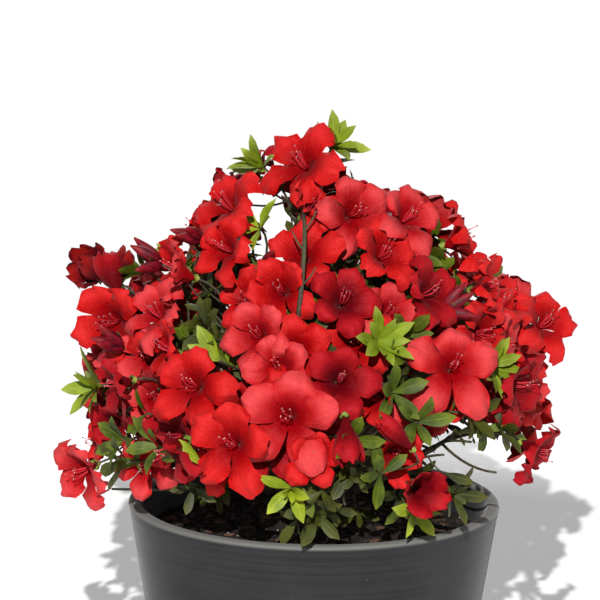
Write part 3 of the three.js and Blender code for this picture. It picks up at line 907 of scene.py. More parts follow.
def corner_finder(node):
    """Finds the nearest corners of a CAD node, in millimetres."""
    corners = cad_nodes[node].data.vertices
    finder = KDTree(len(corners))
    for index, corner in enumerate(corners):
        finder.insert(corner.co / MM, index)
    finder.balance()
    return finder


def on_corners(finder, points, slack=0.08):
    """The share of the points that lie on corners of a CAD node."""
    return sum(finder.find(point)[2] < slack for point in points) / len(points)


def facing(place, dice):
    """Where a place looks: away from the core, and only part as steeply up."""
    spot = place["spot"]
    steep = CORE["steep"] * math.atan2(spot.z - CORE["up"], math.hypot(spot.x, spot.y))
    rise = steep + math.radians(place["tilt"] + dice.spread(WOBBLE))
    azimuth = math.atan2(spot.y, spot.x) + math.radians(place["turn"] + dice.spread(WOBBLE))
    return Vector((math.cos(azimuth) * math.cos(rise), math.sin(azimuth) * math.cos(rise), math.sin(rise)))


def put(place, along, towards, size=1.0):
    """A matrix with its +Z along one direction and its +Y turned towards another."""
    across = towards.cross(along).normalized()
    upper = along.cross(across)
    matrix = Matrix((across * size, upper * size, along * size)).transposed().to_4x4()
    matrix.translation = place
    return matrix


def rim_points(matrix):
    points = []
    for petal in range(BLOOM["petals"]):
        for share, radius, rise in BLOOM["edge"]:
            turn = (petal + share) / BLOOM["petals"] * TURN
            points.append(matrix @ Vector((math.sin(turn) * radius, -math.cos(turn) * radius, rise)))
    return points


def twig_bend(stem, share, end, look):
    """A twig from the stem to its end, arriving along a direction."""
    start = stem.spot(share)
    return Bend(start, end - look * TWIG["bend"] * (end - start).length, end)


print("A bloom's rim has", len(rim_points(Matrix())), "points to look for")


# %% Grow the shoots
def grow_shoot(mass, number, index, kind, place, finder):
    """One shoot as the source grew it, with its twig, its heading and the matrices of what it carries."""
    dice = Dice(SEED["first"] + SEED["per_mass"] * index + SEED["per_shoot"] * number)
    look = facing(place, dice)
    seat = {"blooms": BLOOM["seat"], "buds": BUD["length"] / 2, "tips": WHORL["seat"]}[kind]
    stem = stems[mass["name"]]
    for step in range(TRIES["most"]):
        size = place["size"] * (1 - TRIES["shrink"] * step)
        face = over_rim(place["spot"]) - look * TRIES["sink"] * step + dice.shift(TRIES["nudge"] * step)
        share = mix(TWIG["lowest"], TWIG["highest"], dice.roll())
        end = face - look * seat * size
        carried = []
        if kind == "blooms":
            side = dice.shift(1)
            middle = face + side.cross(look).normalized() * BLOOM["offset"] * size
            carried = [put(middle, look, side, size)]
            found = on_corners(finder, rim_points(carried[0])) > FOUND[kind]
        elif kind == "buds":
            foot = face - look * (BUD["length"] / 2 + BUD["sink"]) * size
            for _ in range(BUD["per_cluster"]):
                along = (look + dice.shift(BUD["splay"])).normalized()
                carried.append(put(foot, along, UP, size))
            tips = [matrix @ Vector((0, 0, BUD["length"])) for matrix in carried]
            found = on_corners(finder, tips) > FOUND[kind]
        else:
            found = all(near < FOUND[kind] for _, _, near in finder.find_n(end, 3))
        if found:
            twig = twig_bend(stem, share, end, look)
            return {"mass": mass["name"], "kind": kind, "look": look, "size": size, "face": face,
                    "share": share, "twig": twig, "carried": carried, "dice": dice, "step": step}
    print("No try found for shoot", number, "of", mass["name"])
    return None


shoots = []
for index, mass in enumerate(masses):
    finder = corner_finder(f"{mass['name']}_mass")
    number = 0
    for kind in KINDS:
        for place in mass[kind]:
            number += 1
            shoot = grow_shoot(mass, number, index, kind, place, finder)
            if shoot:
                shoots.append(shoot)
print(len(shoots), "shoots,", sum(shoot["step"] > 0 for shoot in shoots), "of them not at the first try")

# %% [markdown]
# ## Wood
#
# The trunk is short and knotty, and widens to a root flare on the soil. The boughs are thin and run out
# to the crown's masses. All are tubes bent along the curves. The trunk's tube has enough faces for real
# relief: long ridges and knots push its skin out by half a millimetre, and the bark's fine cracks are
# left to the bump. The pattern runs along each limb because every point carries its own place on the
# unrolled limb as a mark.


# %% A tube that can be bent
def tube(sides, rings):
    """A closed tube of radius 1 and height 1 that ends in a point, made of extruded circles."""
    form = bmesh.new()
    bmesh.ops.create_circle(form, segments=sides, radius=1)
    edges = list(form.edges)
    bmesh.ops.contextual_create(form, geom=edges)
    for _ in range(rings):
        grown = bmesh.ops.extrude_edge_only(form, edges=edges)["geom"]
        edges = [part for part in grown if isinstance(part, bmesh.types.BMEdge)]
        ring = [part for part in grown if isinstance(part, bmesh.types.BMVert)]
        edges = [edge for edge in edges if all(end in ring for end in edge.verts)]
        bmesh.ops.translate(form, verts=ring, vec=(0, 0, 1 / rings))
    cap = bmesh.ops.contextual_create(form, geom=edges)["faces"]
    bmesh.ops.poke(form, faces=cap)
    return Shape(form)


def bent_tube(shape, bend, radius_at, skin=None):
    """A tube bent along a curve, with its marks. skin gives how far each point stands out."""
    shares = np.clip(shape.points[:, 2], 0, 1)
    spots = bend.spots(shares)
    headings = bend.headings(shares)
    normal = np.cross(bend.middle - bend.start, bend.end - bend.middle)
    if np.linalg.norm(normal) < 1e-6:
        normal = np.cross(bend.end - bend.start, (0.3, 0.5, 0.8))
    normal = normal / np.linalg.norm(normal)
    side = np.cross(headings, normal)
    unit = shape.points[:, :2]
    radius = radius_at(shares)
    marks = np.column_stack([unit * radius[:, None], shares * bend.length])
    if skin is not None:
        radius = radius + skin(marks) * (np.linalg.norm(unit, axis=1) > 0.5)
    points = spots + (unit[:, :1] * side + unit[:, 1:] * normal) * radius[:, None]
    return shape, points, marks


limb_tube = tube(10, 22)
print("A limb's tube has", len(limb_tube.starts), "faces")


# %% The trunk and the boughs
def ridges(ripple, knots):
    """How far the bark stands out: long ridges, and a few knots."""
    def skin(marks):
        out = []
        for mark in marks:
            at = Vector(mark)
            long = noise.noise(Vector((at.x * 0.55, at.y * 0.55, at.z * 0.07)))
            lump = max(0.0, noise.noise(Vector((at.x * 0.12, at.y * 0.12, at.z * 0.09 + 7))))
            out.append(ripple * long + knots * lump)
        return np.array(out)
    return skin


def trunk_radius(shares):
    """The trunk's radius, with its root flare."""
    flare = (TRUNK["foot"] - TRUNK["neck"]) * np.maximum(0, 1 - shares / TRUNK["flare"]) ** 2
    return mix(TRUNK["neck"], TRUNK["top"], shares) + flare


def tapered(foot, tip):
    return lambda shares: foot + (tip - foot) * shares


TRUNK_SKIN = ridges(ripple=0.9, knots=2.0)
BOUGH_SKIN = ridges(ripple=0.35, knots=1.3)
wood = [bent_tube(tube(48, 60), limbs["trunk"], trunk_radius, TRUNK_SKIN)]
for mass in masses:
    form = BOUGH if mass["from"][0] == "trunk" else SIDE_BOUGH
    thick = tapered(form["foot"], form["tip"])
    wood.append(bent_tube(limb_tube, limbs[mass["name"]], thick, BOUGH_SKIN))
wood_mesh = joined("trunk_and_boughs", wood, "grain")
print(len(wood), "limbs")

# %% Bark
bark, recipe, shader = new_finish("azalea bark", linear(92, 72, 54), 0.85, Specular_IOR_Level=0.3)
grain = recipe.mark("grain")
along = recipe.stretched(grain, (1, 1, 0.16))
strips, strip_noise = mottling(recipe, along, 0.9, 0.36, 0.62)
patches, _ = mottling(recipe, grain, 0.12, 0.35, 0.65)
_, fine_noise = mottling(recipe, grain, 3.0)
brown = recipe.blend(strips, linear(52, 38, 28), linear(120, 97, 76))
brown = recipe.blend(recipe.times(patches, 0.5), brown, linear(104, 92, 80))
relief = recipe.plus(strip_noise, recipe.times(fine_noise, 0.3))
wire(recipe, shader, brown, relief, 0.0012)
add_piece(wood_mesh, ["trunk"] + BOUGH_NODES, bark)

# %% [markdown]
# ## Where the blooms sit
#
# The solids have only the blooms that give the crown its outline. A real azalea in flower is covered:
# each bud opens into two or three blooms, and they fill the crown's whole face like tiles, a little
# behind each other. Strewing them at random leaves holes and heaps. So places are tried that spread
# evenly over the crown, and a bloom goes wherever there is room between the others. Places where a
# shoot of leaves stands, and the openings, are left free. A bloom of the far side that would show past
# the outline is left out.

# %% The blooms that the solids have
TONES = ("scarlet", "coral", "crimson", "maroon")
# The front blooms' tone and how far each is open, in the order of the masses' places
FRONT_DRESS = {
    "front": [("coral", 1.0), ("crimson", 0.88), ("scarlet", 0.95)],
    "top": [("scarlet", 0.95)],
    "upper_left": [("scarlet", 1.0), ("scarlet", 0.82)],
    "upper_right": [("coral", 1.0), ("coral", 0.9), ("scarlet", 0.85)],
    "right_shoulder": [("scarlet", 0.92), ("scarlet", 0.85)],
    "middle": [("scarlet", 0.95), ("crimson", 0.85), ("scarlet", 0.85)],
    "right_middle": [("crimson", 0.9), ("coral", 0.9)],
    "left_shoulder": [("coral", 0.82), ("scarlet", 0.9)],
    "left_tip": [("scarlet", 0.85), ("maroon", 0.45)],
    "upper_front": [("coral", 0.92), ("scarlet", 0.9), ("coral", 0.88)],
    "front_left": [("scarlet", 0.95), ("crimson", 0.85)],
    "left": [("crimson", 0.85), ("scarlet", 0.75)],
    "low_left": [("coral", 0.85)],
    "right_front": [("coral", 1.0)],
    "right_tip": [("scarlet", 0.95), ("crimson", 0.85)],
    "low_right": [("crimson", 0.8)],
    "low_front_right": [("crimson", 0.5)],
}
FULLER = 1.07
# Up to which luck a bloom is scarlet, and up to which coral
TONE_LUCK = (0.5, 0.8)
# How far blooms open that the photograph doesn't show one by one
OPEN = {"solids": (0.8, 1.0), "added": (0.55, 1.0)}
# How many pixels a bloom of the far side stays inside the outline
BACK_ROOM = 14.0
# The first seed of the added blooms and of the half-open ones
FIRST_SEED = {"added": 500, "half_open": 9000}
bloom_sites = []


def add_site(matrix, look, size, tone, opening, seed, room=True):
    """Keeps a bloom's place, its tone and how far it is open."""
    bloom_sites.append({"matrix": matrix, "look": look, "size": size, "spot": matrix.translation.copy(),
                        "tone": tone, "opening": opening, "seed": seed, "room": room})


def any_tone(dice):
    """Scarlet for half of the blooms, then coral, then crimson."""
    luck = dice.roll()
    return TONES[sum(luck >= limit for limit in TONE_LUCK)]


counted = {}
for number, shoot in enumerate(shoots):
    if shoot["kind"] != "blooms":
        continue
    dice = dice_for("tone", number)
    if shoot["mass"] not in FRONT_DRESS and not in_view([shoot["face"]], BACK_ROOM):
        continue
    nth = counted[shoot["mass"]] = counted.get(shoot["mass"], -1) + 1
    tone = any_tone(dice)
    opening = dice.among(*OPEN["solids"])
    if shoot["mass"] in FRONT_DRESS:
        tone, opening = FRONT_DRESS[shoot["mass"]][nth]
    fuller = Matrix.Scale(FULLER, 4)
    add_site(shoot["carried"][0] @ fuller, shoot["look"], shoot["size"] * FULLER, tone, opening, number)
print(len(bloom_sites), "blooms that the solids have")

# %% More blooms wherever there is room
EXTRA = {"tries": 2600, "least": 28.0, "leafy": 24.0, "deep": (0.78, 0.95), "size": (0.86, 1.06),
         "front_low": 40, "back_low": 26, "high": 232, "reach": 80, "flank": 30, "to_front": 28,
         "turn": 26, "tilt": 22, "front": 20, "base": 12, "bend": 0.4}
# Multiples of these two shares of one spread evenly over an area
EVEN = (0.7548777, 0.5698403)
bloom_stalks = []
leafy_faces = [shoot["face"] for shoot in shoots if shoot["kind"] == "tips"]


def free_of(spot, others, least):
    return all((other - spot).length > least for other in others)


def round_face(matrix, radius=21.0):
    """Four points round a bloom's face."""
    turns = (0.4, 2.0, 3.5, 5.1)
    return [matrix @ Vector((radius * math.cos(turn), radius * math.sin(turn), 0)) for turn in turns]


def stalk_to(base, look):
    """A stalk to a bloom's base from the nearest twig of the source's rule. None if all are too far."""
    start = min((shoot["twig"].spot(0.5) for shoot in shoots), key=lambda spot: (spot - base).length)
    length = (base - start).length
    return Bend(start, base - look * EXTRA["bend"] * length, base) if length < EXTRA["reach"] else None


for k in range(EXTRA["tries"]):
    dice = dice_for("added bloom", k)
    up = mix(EXTRA["back_low"], EXTRA["high"], k * EVEN[0] % 1)
    turn = k * EVEN[1] % 1 * TURN
    deep = dice.among(*EXTRA["deep"])
    aside = half_across(up) * math.cos(turn) * deep
    behind = half_depth(up) * math.sin(turn) * deep
    place = {"spot": Vector((aside, behind, up)),
             "turn": dice.spread(EXTRA["turn"]), "tilt": dice.spread(EXTRA["tilt"])}
    spot = over_rim(place["spot"])
    # Blooms on both flanks turn to the light in front
    if spot.y < EXTRA["flank"]:
        place["turn"] -= math.copysign(EXTRA["to_front"], spot.x)
    if place["spot"].y < EXTRA["front"] and up < EXTRA["front_low"]:
        continue
    others = [site["spot"] for site in bloom_sites if site["room"]]
    if not (free_of(spot, others, EXTRA["least"]) and free_of(spot, leafy_faces, EXTRA["leafy"])):
        continue
    look = facing(place, dice)
    size = dice.among(*EXTRA["size"])
    matrix = put(spot, look, dice.shift(1), size)
    stalk = stalk_to(matrix @ Vector((0, 0, -EXTRA["base"])), look)
    if stalk and in_view(round_face(matrix)):
        tone = any_tone(dice)
        add_site(matrix, look, size, tone, dice.among(*OPEN["added"]), FIRST_SEED["added"] + k)
        bloom_stalks.append(stalk)
print(len(bloom_sites), "blooms with those added")

# %% Half-open blooms that the photograph shows
# Base and tip as [across, up] over the rim, then size, tone, opening, and the mass it grows from
HALF_OPEN = [
    ((17, 88), (21, 52), 1.0, "crimson", 0.2, "low_front"),
    ((60, 66), (38, 86), 0.8, "crimson", 0.08, "low_front"),
    ((-128, 143), (-146, 172), 1.15, "crimson", 0.14, "left_tip"),
    ((-130, 146), (-126, 176), 0.9, "maroon", 0.1, "left_tip"),
    ((-130, 150), (-160, 160), 1.0, "maroon", 0.1, "left_tip"),
]
HALF = {"base": 13, "side": (0.3, -1, 0.2), "stem_share": 0.7, "stalk_bend": 0.35}
for number, (base, tip, size, tone, opening, by) in enumerate(HALF_OPEN):
    base, tip = (over_rim(front_place(*end)["spot"]) for end in (base, tip))
    look = (tip - base).normalized()
    matrix = put(base + look * HALF["base"] * size, look, Vector(HALF["side"]), size)
    add_site(matrix, look, size, tone, opening, FIRST_SEED["half_open"] + number, room=False)
    start = stems[by].spot(HALF["stem_share"])
    bloom_stalks.append(Bend(start, base - look * HALF["stalk_bend"] * (base - start).length, base))
print(len(HALF_OPEN), "half-open blooms")

# %% What may grow where the blooms are
OPEN_FROM = 0.4
open_sites = [site for site in bloom_sites if site["opening"] > OPEN_FROM]
OPEN_SPOTS = np.array([site["spot"] for site in open_sites])
OPEN_LOOKS = np.array([site["look"] for site in open_sites])
OPEN_SIZES = np.array([site["size"] for site in open_sites])
# The funnel's and the lobes' height over the middle of the face, by their distance from its axis
FACE = {"aside": (0, 5, 10, 16, 27), "rise": (-12, -6, -2, 0.5, 0), "reach": 26}


def beside_blooms(spots):
    """How far each point lies along every open bloom's axis, and aside of it."""
    away = np.array(spots, float)[:, None, :] - OPEN_SPOTS
    along = (away * OPEN_LOOKS).sum(2)
    return along, np.sqrt(np.maximum((away**2).sum(2) - along**2, 0))


def before_a_bloom(spots, reach=24.0, behind=6.0, ahead=26.0):
    """Whether any of the points lies in front of an open bloom's face."""
    along, aside = beside_blooms(spots)
    hit = (aside < reach * OPEN_SIZES) & (along > -behind * OPEN_SIZES) & (along < ahead * OPEN_SIZES)
    return bool(hit.any())


def pierces_a_bloom(spots):
    """Whether the line through the points goes through the funnel or a lobe of an open bloom."""
    along, aside = (far / OPEN_SIZES for far in beside_blooms(spots))
    above = along > np.interp(aside, FACE["aside"], FACE["rise"])
    crossed = (above[1:] != above[:-1]) & (np.minimum(aside[1:], aside[:-1]) < FACE["reach"])
    return bool(crossed.any())


print(len(open_sites), "open blooms keep their faces free")

# %% [markdown]
# ## Twigs
#
# From each bough's tip a stem goes on, and the shoots leave it. A real azalea branches again and again,
# so finer twigs leave every shoot and bough here, turn out towards the light and end inside the mass's
# own reach. Each ends in a whorl of leaves. A twig that would come out before a bloom's face, or into
# the sky, is left out. They are five-sided tubes, because there are many hundreds and each is as thin
# as a match.

# %% Finer twigs
FINE = {"per_bough": 5, "inner": 13, "foot": 0.65, "tip": 0.4, "short": 13, "long": 27,
        "lean": 48, "vary": 16}
# Heights over the rim, in mm, and the two distances from the axis between which the pot's wall is
REACH = {"high": 250, "low": -14.0, "over_wall": 8, "inside": POT["rim"] - 22, "outside": 139,
         "widest": 240, "least": 40}
# A fine twig's first half, and how its second half turns: its own way, outward and up
FINE_WAY = {"first": 0.5, "own": 0.55, "outward": 0.6, "up": 0.2, "second": 0.55}


def within_reach(spot, slack=1.0):
    """Whether a place lies inside the crown's outline and clear of the pot."""
    up = spot.z - RIM
    if up > REACH["high"] or up < REACH["low"]:
        return False
    off = math.hypot(spot.x, spot.y)
    clear_of_wall = up > REACH["over_wall"] or not REACH["inside"] <= off <= REACH["outside"]
    level = min(up, REACH["widest"])
    across = max(half_across(level), REACH["least"])
    depth = max(half_depth(level), REACH["least"])
    return clear_of_wall and math.hypot(spot.x / across, spot.y / depth) < slack


def away_from_core(spot):
    return (spot - Vector((0, 0, RIM + CORE["up"]))).normalized()


def side_way(axis, turn, lean):
    """A direction that leans from an axis, turned about it."""
    across = axis.cross(UP)
    across = across.normalized() if across.length > 0.01 else Vector((1, 0, 0))
    return (Matrix.Rotation(turn, 3, axis) @ across) * math.sin(lean) + axis * math.cos(lean)


def is_free(bend, slack):
    """Whether a twig ends in reach, stays in the outline and leaves the blooms' faces free."""
    places = [bend.spot(share) for share in (0.5, 0.8, 1.0)]
    return within_reach(places[-1], slack) and in_view(places, 5.0) and not before_a_bloom(places)


def side_twig(parent, share, dice, low=FINE["short"], high=FINE["long"], slack=0.93):
    """A finer twig that leaves its parent, then turns out of the crown. None if there is no room for it."""
    start = parent.spot(share)
    lean = math.radians(FINE["lean"] + dice.spread(FINE["vary"]))
    way = side_way(parent.heading(share), dice.among(0, TURN), lean)
    length = dice.among(low, high)
    bend = start + way * length * FINE_WAY["first"]
    on = way * FINE_WAY["own"] + away_from_core(start) * FINE_WAY["outward"] + UP * FINE_WAY["up"]
    end = bend + on.normalized() * length * FINE_WAY["second"]
    twig = Bend(start, bend, end)
    return twig if is_free(twig, slack) else None


print("Fine twigs are", FINE["short"], "to", FINE["long"], "mm long")

# %% Branch every shoot and bough
BLOOM_BASE = 12.6
SIDE_SHARES = {"shoot": (0.45, 0.62, 0.78), "vary": 0.07, "bough": (0.45, 0.97)}
INNER = {"bough_length": (18, 34), "out": (0.3, 0.85), "shift": 9, "share": (0.1, 0.95), "slack": 0.86}
# Where the short joint from each bough to its stem starts and ends
JOINT = (0.97, 0.05)
# The radius of a twig at its foot and at its tip
THICK = {"shoot": (TWIG["foot"], TWIG["tip"]), "side": (FINE["foot"], FINE["tip"]),
         "bough": (0.8, FINE["tip"]), "stem": (STEM["foot"], STEM["tip"]), "joint": (1.9, 1.8),
         "inner": (0.8, 0.5), "stalk": (0.8, 0.7), "leader": (1.8, 1.2), "leader_foot": (1.9, 1.7),
         "leader_top": (1.3, 1.2), "bare": (1.1, 0.8), "bare_foot": (1.3, 1.1)}
twigs = []
leafy_ends = []


def add_twig(bend, kind):
    twigs.append((bend, *THICK[kind]))


for shoot in shoots:
    dice = dice_for("fine twigs", len(twigs))
    if shoot["kind"] == "blooms":
        base = shoot["carried"][0] @ Matrix.Scale(FULLER, 4) @ Vector((0, 0, -BLOOM_BASE))
        shoot["twig"] = twig_bend(stems[shoot["mass"]], shoot["share"], base, shoot["look"])
    add_twig(shoot["twig"], "shoot")
    for share in SIDE_SHARES["shoot"]:
        fine = side_twig(shoot["twig"], share + dice.spread(SIDE_SHARES["vary"]), dice)
        if fine:
            add_twig(fine, "side")
            leafy_ends.append((fine, "side", dice))
for mass in masses:
    dice = dice_for("inner twigs", len(twigs))
    add_twig(stems[mass["name"]], "stem")
    foot, tip = limbs[mass["name"]].spot(JOINT[0]), stems[mass["name"]].spot(JOINT[1])
    add_twig(straight(foot, tip), "joint")
    for _ in range(FINE["per_bough"]):
        share = dice.among(*SIDE_SHARES["bough"])
        fine = side_twig(limbs[mass["name"]], share, dice, *INNER["bough_length"])
        if fine:
            add_twig(fine, "bough")
            leafy_ends.append((fine, "inner", dice))
    spots = [place["spot"] for kind in KINDS for place in mass[kind]]
    for _ in range(FINE["inner"]):
        one, other = (spots[int(dice.roll() * len(spots)) % len(spots)] for _ in range(2))
        outer = over_rim(one.lerp(other, dice.roll()))
        end = heart_of(mass).lerp(outer, dice.among(*INNER["out"])) + dice.shift(INNER["shift"])
        share = dice.among(*INNER["share"])
        inner = twig_bend(stems[mass["name"]], share, end, away_from_core(end))
        if is_free(inner, INNER["slack"]):
            add_twig(inner, "inner")
            leafy_ends.append((inner, "inner", dice))
for stalk in bloom_stalks:
    add_twig(stalk, "stalk")
print(len(twigs), "twigs,", len(leafy_ends), "of them with leaves of their own")

# %% Two bare stems that show in the photograph
STEM_SEEN = {"low": ((296, 334), -98), "middle": (304, 256), "proud": 19, "high": ((303, 204), -44)}
leader_low = spot_behind(*STEM_SEEN["low"])
leader_high = spot_behind(*STEM_SEEN["high"])
leader_middle = spot_behind(STEM_SEEN["middle"], (leader_low.y + leader_high.y) / 2 - STEM_SEEN["proud"])
leader = Bend(leader_low, leader_middle * 2 - (leader_low + leader_high) / 2, leader_high)
add_twig(leader, "leader")
# Where each spur leaves the upright stem, and its turn about it
SPURS = ((0.3, 0.5), (0.52, 3.4), (0.68, 5.8), (0.8, 1.9))
for share, turn in SPURS:
    foot = leader.spot(share)
    way = side_way(leader.heading(share), turn, math.radians(FINE["lean"]))
    spur = Bend(foot, foot + way * 7, foot + way * 11 + UP * 5)
    add_twig(spur, "inner")
add_twig(straight(stems["front"].spot(0.9), leader_low), "leader_foot")
add_twig(straight(leader_high, stems["top"].spot(0.5)), "leader_top")
BARE_SEEN = (((112, 489), -40), ((184, 490), -62))
bare_ends = [spot_behind(*end) for end in BARE_SEEN]
add_twig(straight(bare_ends[1], bare_ends[0]), "bare")
add_twig(straight(limbs["low_left"].spot(0.6), bare_ends[1]), "bare_foot")
print("The upright stem is", round(leader.length), "mm long")


# %% Join the twigs
def add_crown(name, copies, finish, mark=None):
    """A piece of the crown, which stands for the solids of all masses, as the others do."""
    add_piece(joined(name, copies, mark), MASS_NODES, finish)


twig_tube = tube(5, 7)
twig_tubes = [bent_tube(twig_tube, bend, tapered(foot, tip)) for bend, foot, tip in twigs]
print(len(twig_tubes), "tubes of", len(twig_tube.starts), "faces")

# %% Twig bark
twig_bark, recipe, shader = new_finish("young green brown bark", linear(96, 84, 52), 0.7)
grain = recipe.mark("grain")
strips, strip_noise = mottling(recipe, grain, 0.5, 0.35, 0.62)
patches, _ = mottling(recipe, object_place(recipe), 30.0, 0.4, 0.6)
brown = recipe.blend(strips, linear(34, 25, 16), linear(62, 50, 32))
brown = recipe.blend(recipe.times(patches, 0.5), brown, linear(62, 68, 28))
wire(recipe, shader, brown, strip_noise, 0.0004)
add_crown("twigs", twig_tubes, twig_bark, "grain")

# %% [markdown]
# ## Leaves
#
# An azalea's leaf is small, 18 to 28 mm, pointed at both ends, folded a little along its rib and arched
# back. Near the top of a shoot the leaves stand in a whorl. Young ones are a bright yellow green, older
# ones lower down are darker. A grid of two by five faces is enough for one leaf, and the same few faces
# are placed thousands of times with their own length, fold and arch.

# %% One leaf
# Lengths in mm. The fold is in radians, the arch in mm at the tip, the twist in radians
LEAF = {"length": 25, "width": 10, "fold": (0.15, 0.5), "arch": (0.5, 4.5), "twist": 0.35}


def blade_grid(across, along):
    """A flat grid with x from -1 to 1 across and y from 0 to 1 along."""
    form = bmesh.new()
    bmesh.ops.create_grid(form, x_segments=across, y_segments=along, size=1)
    bmesh.ops.translate(form, verts=form.verts, vec=(0, 1, 0))
    bmesh.ops.scale(form, verts=form.verts, vec=(1, 0.5, 1))
    return Shape(form)


leaf_grid = blade_grid(2, 5)


def leaf_copy(matrix, dice, blunt=0.0, slim=1.0):
    """One leaf. It grows from the origin along +Z, its upper face to +Y, and is moved by the matrix."""
    u = leaf_grid.points[:, 0]
    v = leaf_grid.points[:, 1]
    widest = 0.55 + 0.12 * blunt
    before = np.clip(v / widest, 0, 1) * np.pi / 2
    after = np.clip((v - widest) / (1 - widest), 0, 1) * np.pi / 2
    shape = np.sin(before) ** 1.2 * np.maximum(np.cos(after), 0) ** (0.8 - 0.3 * blunt)
    half = LEAF["width"] / 2 * slim * (0.06 + 0.94 * shape)
    fold = dice.among(*LEAF["fold"])
    arch = dice.among(*LEAF["arch"])
    twist = dice.spread(LEAF["twist"])
    length = LEAF["length"]
    x = u * half * math.cos(fold)
    y = np.abs(u) * half * math.sin(fold) - arch * v**2 + 0.35 * np.sin(v * 9 + twist * 9) * np.abs(u)
    z = v * length - arch * 0.25 * v**2
    turn = twist * v
    points = np.column_stack([x * np.cos(turn) - y * np.sin(turn), x * np.sin(turn) + y * np.cos(turn), z])
    marks = np.column_stack([u, v, np.full(len(u), dice.roll())])
    return leaf_grid, moved(points, matrix), marks


def leaf_matrix(twig, share, turn, lean, size):
    """Where a leaf sits: by the source's rule, on the chord from the twig's middle to its tip."""
    root = twig.spot(0.5).lerp(twig.spot(1), share)
    axis = twig.heading(mix(0.5, 1, share))
    across = axis.cross(UP).normalized()
    along = (Matrix.Rotation(turn, 3, axis) @ across) * math.sin(lean) + axis * math.cos(lean)
    return put(root, along, axis, size)


print("A leaf has", len(leaf_grid.starts), "faces")

# %% How the leaves are shaded and placed
LEAF_SHADES = ("young", "fresh", "mature", "dusky")
leaves = {shade: [] for shade in LEAF_SHADES}
# The tone of the whorls at the front tips, in the order of the masses' places
FRONT_WHORLS = {
    "front": ["fresh", "mature"], "top": ["young", "young"], "upper_left": ["fresh"],
    "upper_right": ["mature"],
    "right_shoulder": ["young", "mature"], "middle": ["mature", "dusky"], "right_middle": ["mature"],
    "left_shoulder": ["dusky"], "left_tip": ["mature"], "upper_front": ["young"],
    "front_left": ["fresh", "mature"], "left": ["young", "mature", "mature"], "low_left": ["dusky", "bare"],
    "right_front": ["young", "mature", "dusky", "mature"], "right_tip": ["young"],
    "low_right": ["bare", "bare", "dusky"], "low_front": ["bare", "mature", "dusky"],
    "low_front_right": ["fresh", "bare", "dusky"],
}


# The least score of a young, of a fresh and of a mature spray, and what counts for the score
SHADE_FROM = (1.05, 0.78, 0.42)
SHADE_BY = {"up": 0.3, "up_reach": 230, "out": 0.35, "luck": 0.25}
# How blunt and how slim each shade's leaves are
SHADE_FORM = {"young": (0.0, 0.95), "fresh": (0.2, 0.95), "mature": (0.6, 1.0), "dusky": (0.9, 0.95)}
# A leaf that would come out through a bloom leans another way, by these angles
OTHER_LEANS = (0, -0.25, 0.25, -0.5, -0.75)
WHORL_PROBE = (2, 6, 10, 14, 18, 22, 26)
INNER_PROBE = (3, 10, 18, 25)
# More leaves than the source has: an inner whorl of small ones, and single ones lower down
INNER_WHORL = {
    "young": {"count": 5, "step": 1.26, "size": (0.75, 1.1), "lean": (22, 62)},
    "other": {"count": 3, "step": 2.1, "size": (0.4, 0.65), "lean": (12, 40)},
}
LOWER = {"count": 4, "step": 2.4, "share": 0.62, "share_step": 0.14, "size": (0.5, 0.85), "lean": (55, 82)}
SPRAY = {"count": 4, "more": 3, "share": 0.99, "share_step": 0.05, "lean": (35, 78), "size": (0.45, 0.85)}
# What is added to the score: for whorls, other shoots, fine twigs outside and inside
YOUNG = {"tips": 0.4, "other": 0.0, "side": 0.02, "inner": -0.2}
print(sum(len(whorls) for whorls in FRONT_WHORLS.values()), "whorls have their own shade")


# %% Add a leaf if there is room
def spray_shade(spot, dice, young):
    """The shade of one spray of leaves: younger outside and above, darker inside and below."""
    up = (spot.z - RIM) / SHADE_BY["up_reach"]
    out = math.hypot(spot.x / CROWN["across"], spot.y / CROWN["depth"])
    score = young + SHADE_BY["up"] * up + SHADE_BY["out"] * out + dice.spread(SHADE_BY["luck"])
    return LEAF_SHADES[sum(score <= least for least in SHADE_FROM)]


def add_leaf(shade, matrix, dice, kept=False):
    """Adds a leaf, unless it would come out before a bloom or outside the outline."""
    line = [matrix @ Vector((0, 0, LEAF["length"] * share)) for share in (0.2, 0.45, 0.7, 1.0)]
    if not kept and (before_a_bloom(line) or not in_view(line, 1.0)):
        return
    if not (kept and shade == "young") and pierces_a_bloom(line):
        return
    blunt, slim = SHADE_FORM[shade]
    leaves[shade].append(leaf_copy(matrix, dice, blunt, slim * dice.among(0.85, 1.1)))


def pierced(matrix, probe):
    """Whether a leaf goes through a bloom, tested at some heights in mm along it."""
    return pierces_a_bloom([matrix @ Vector((0, 0, up)) for up in probe])


print("Leaves try", len(OTHER_LEANS), "leans")

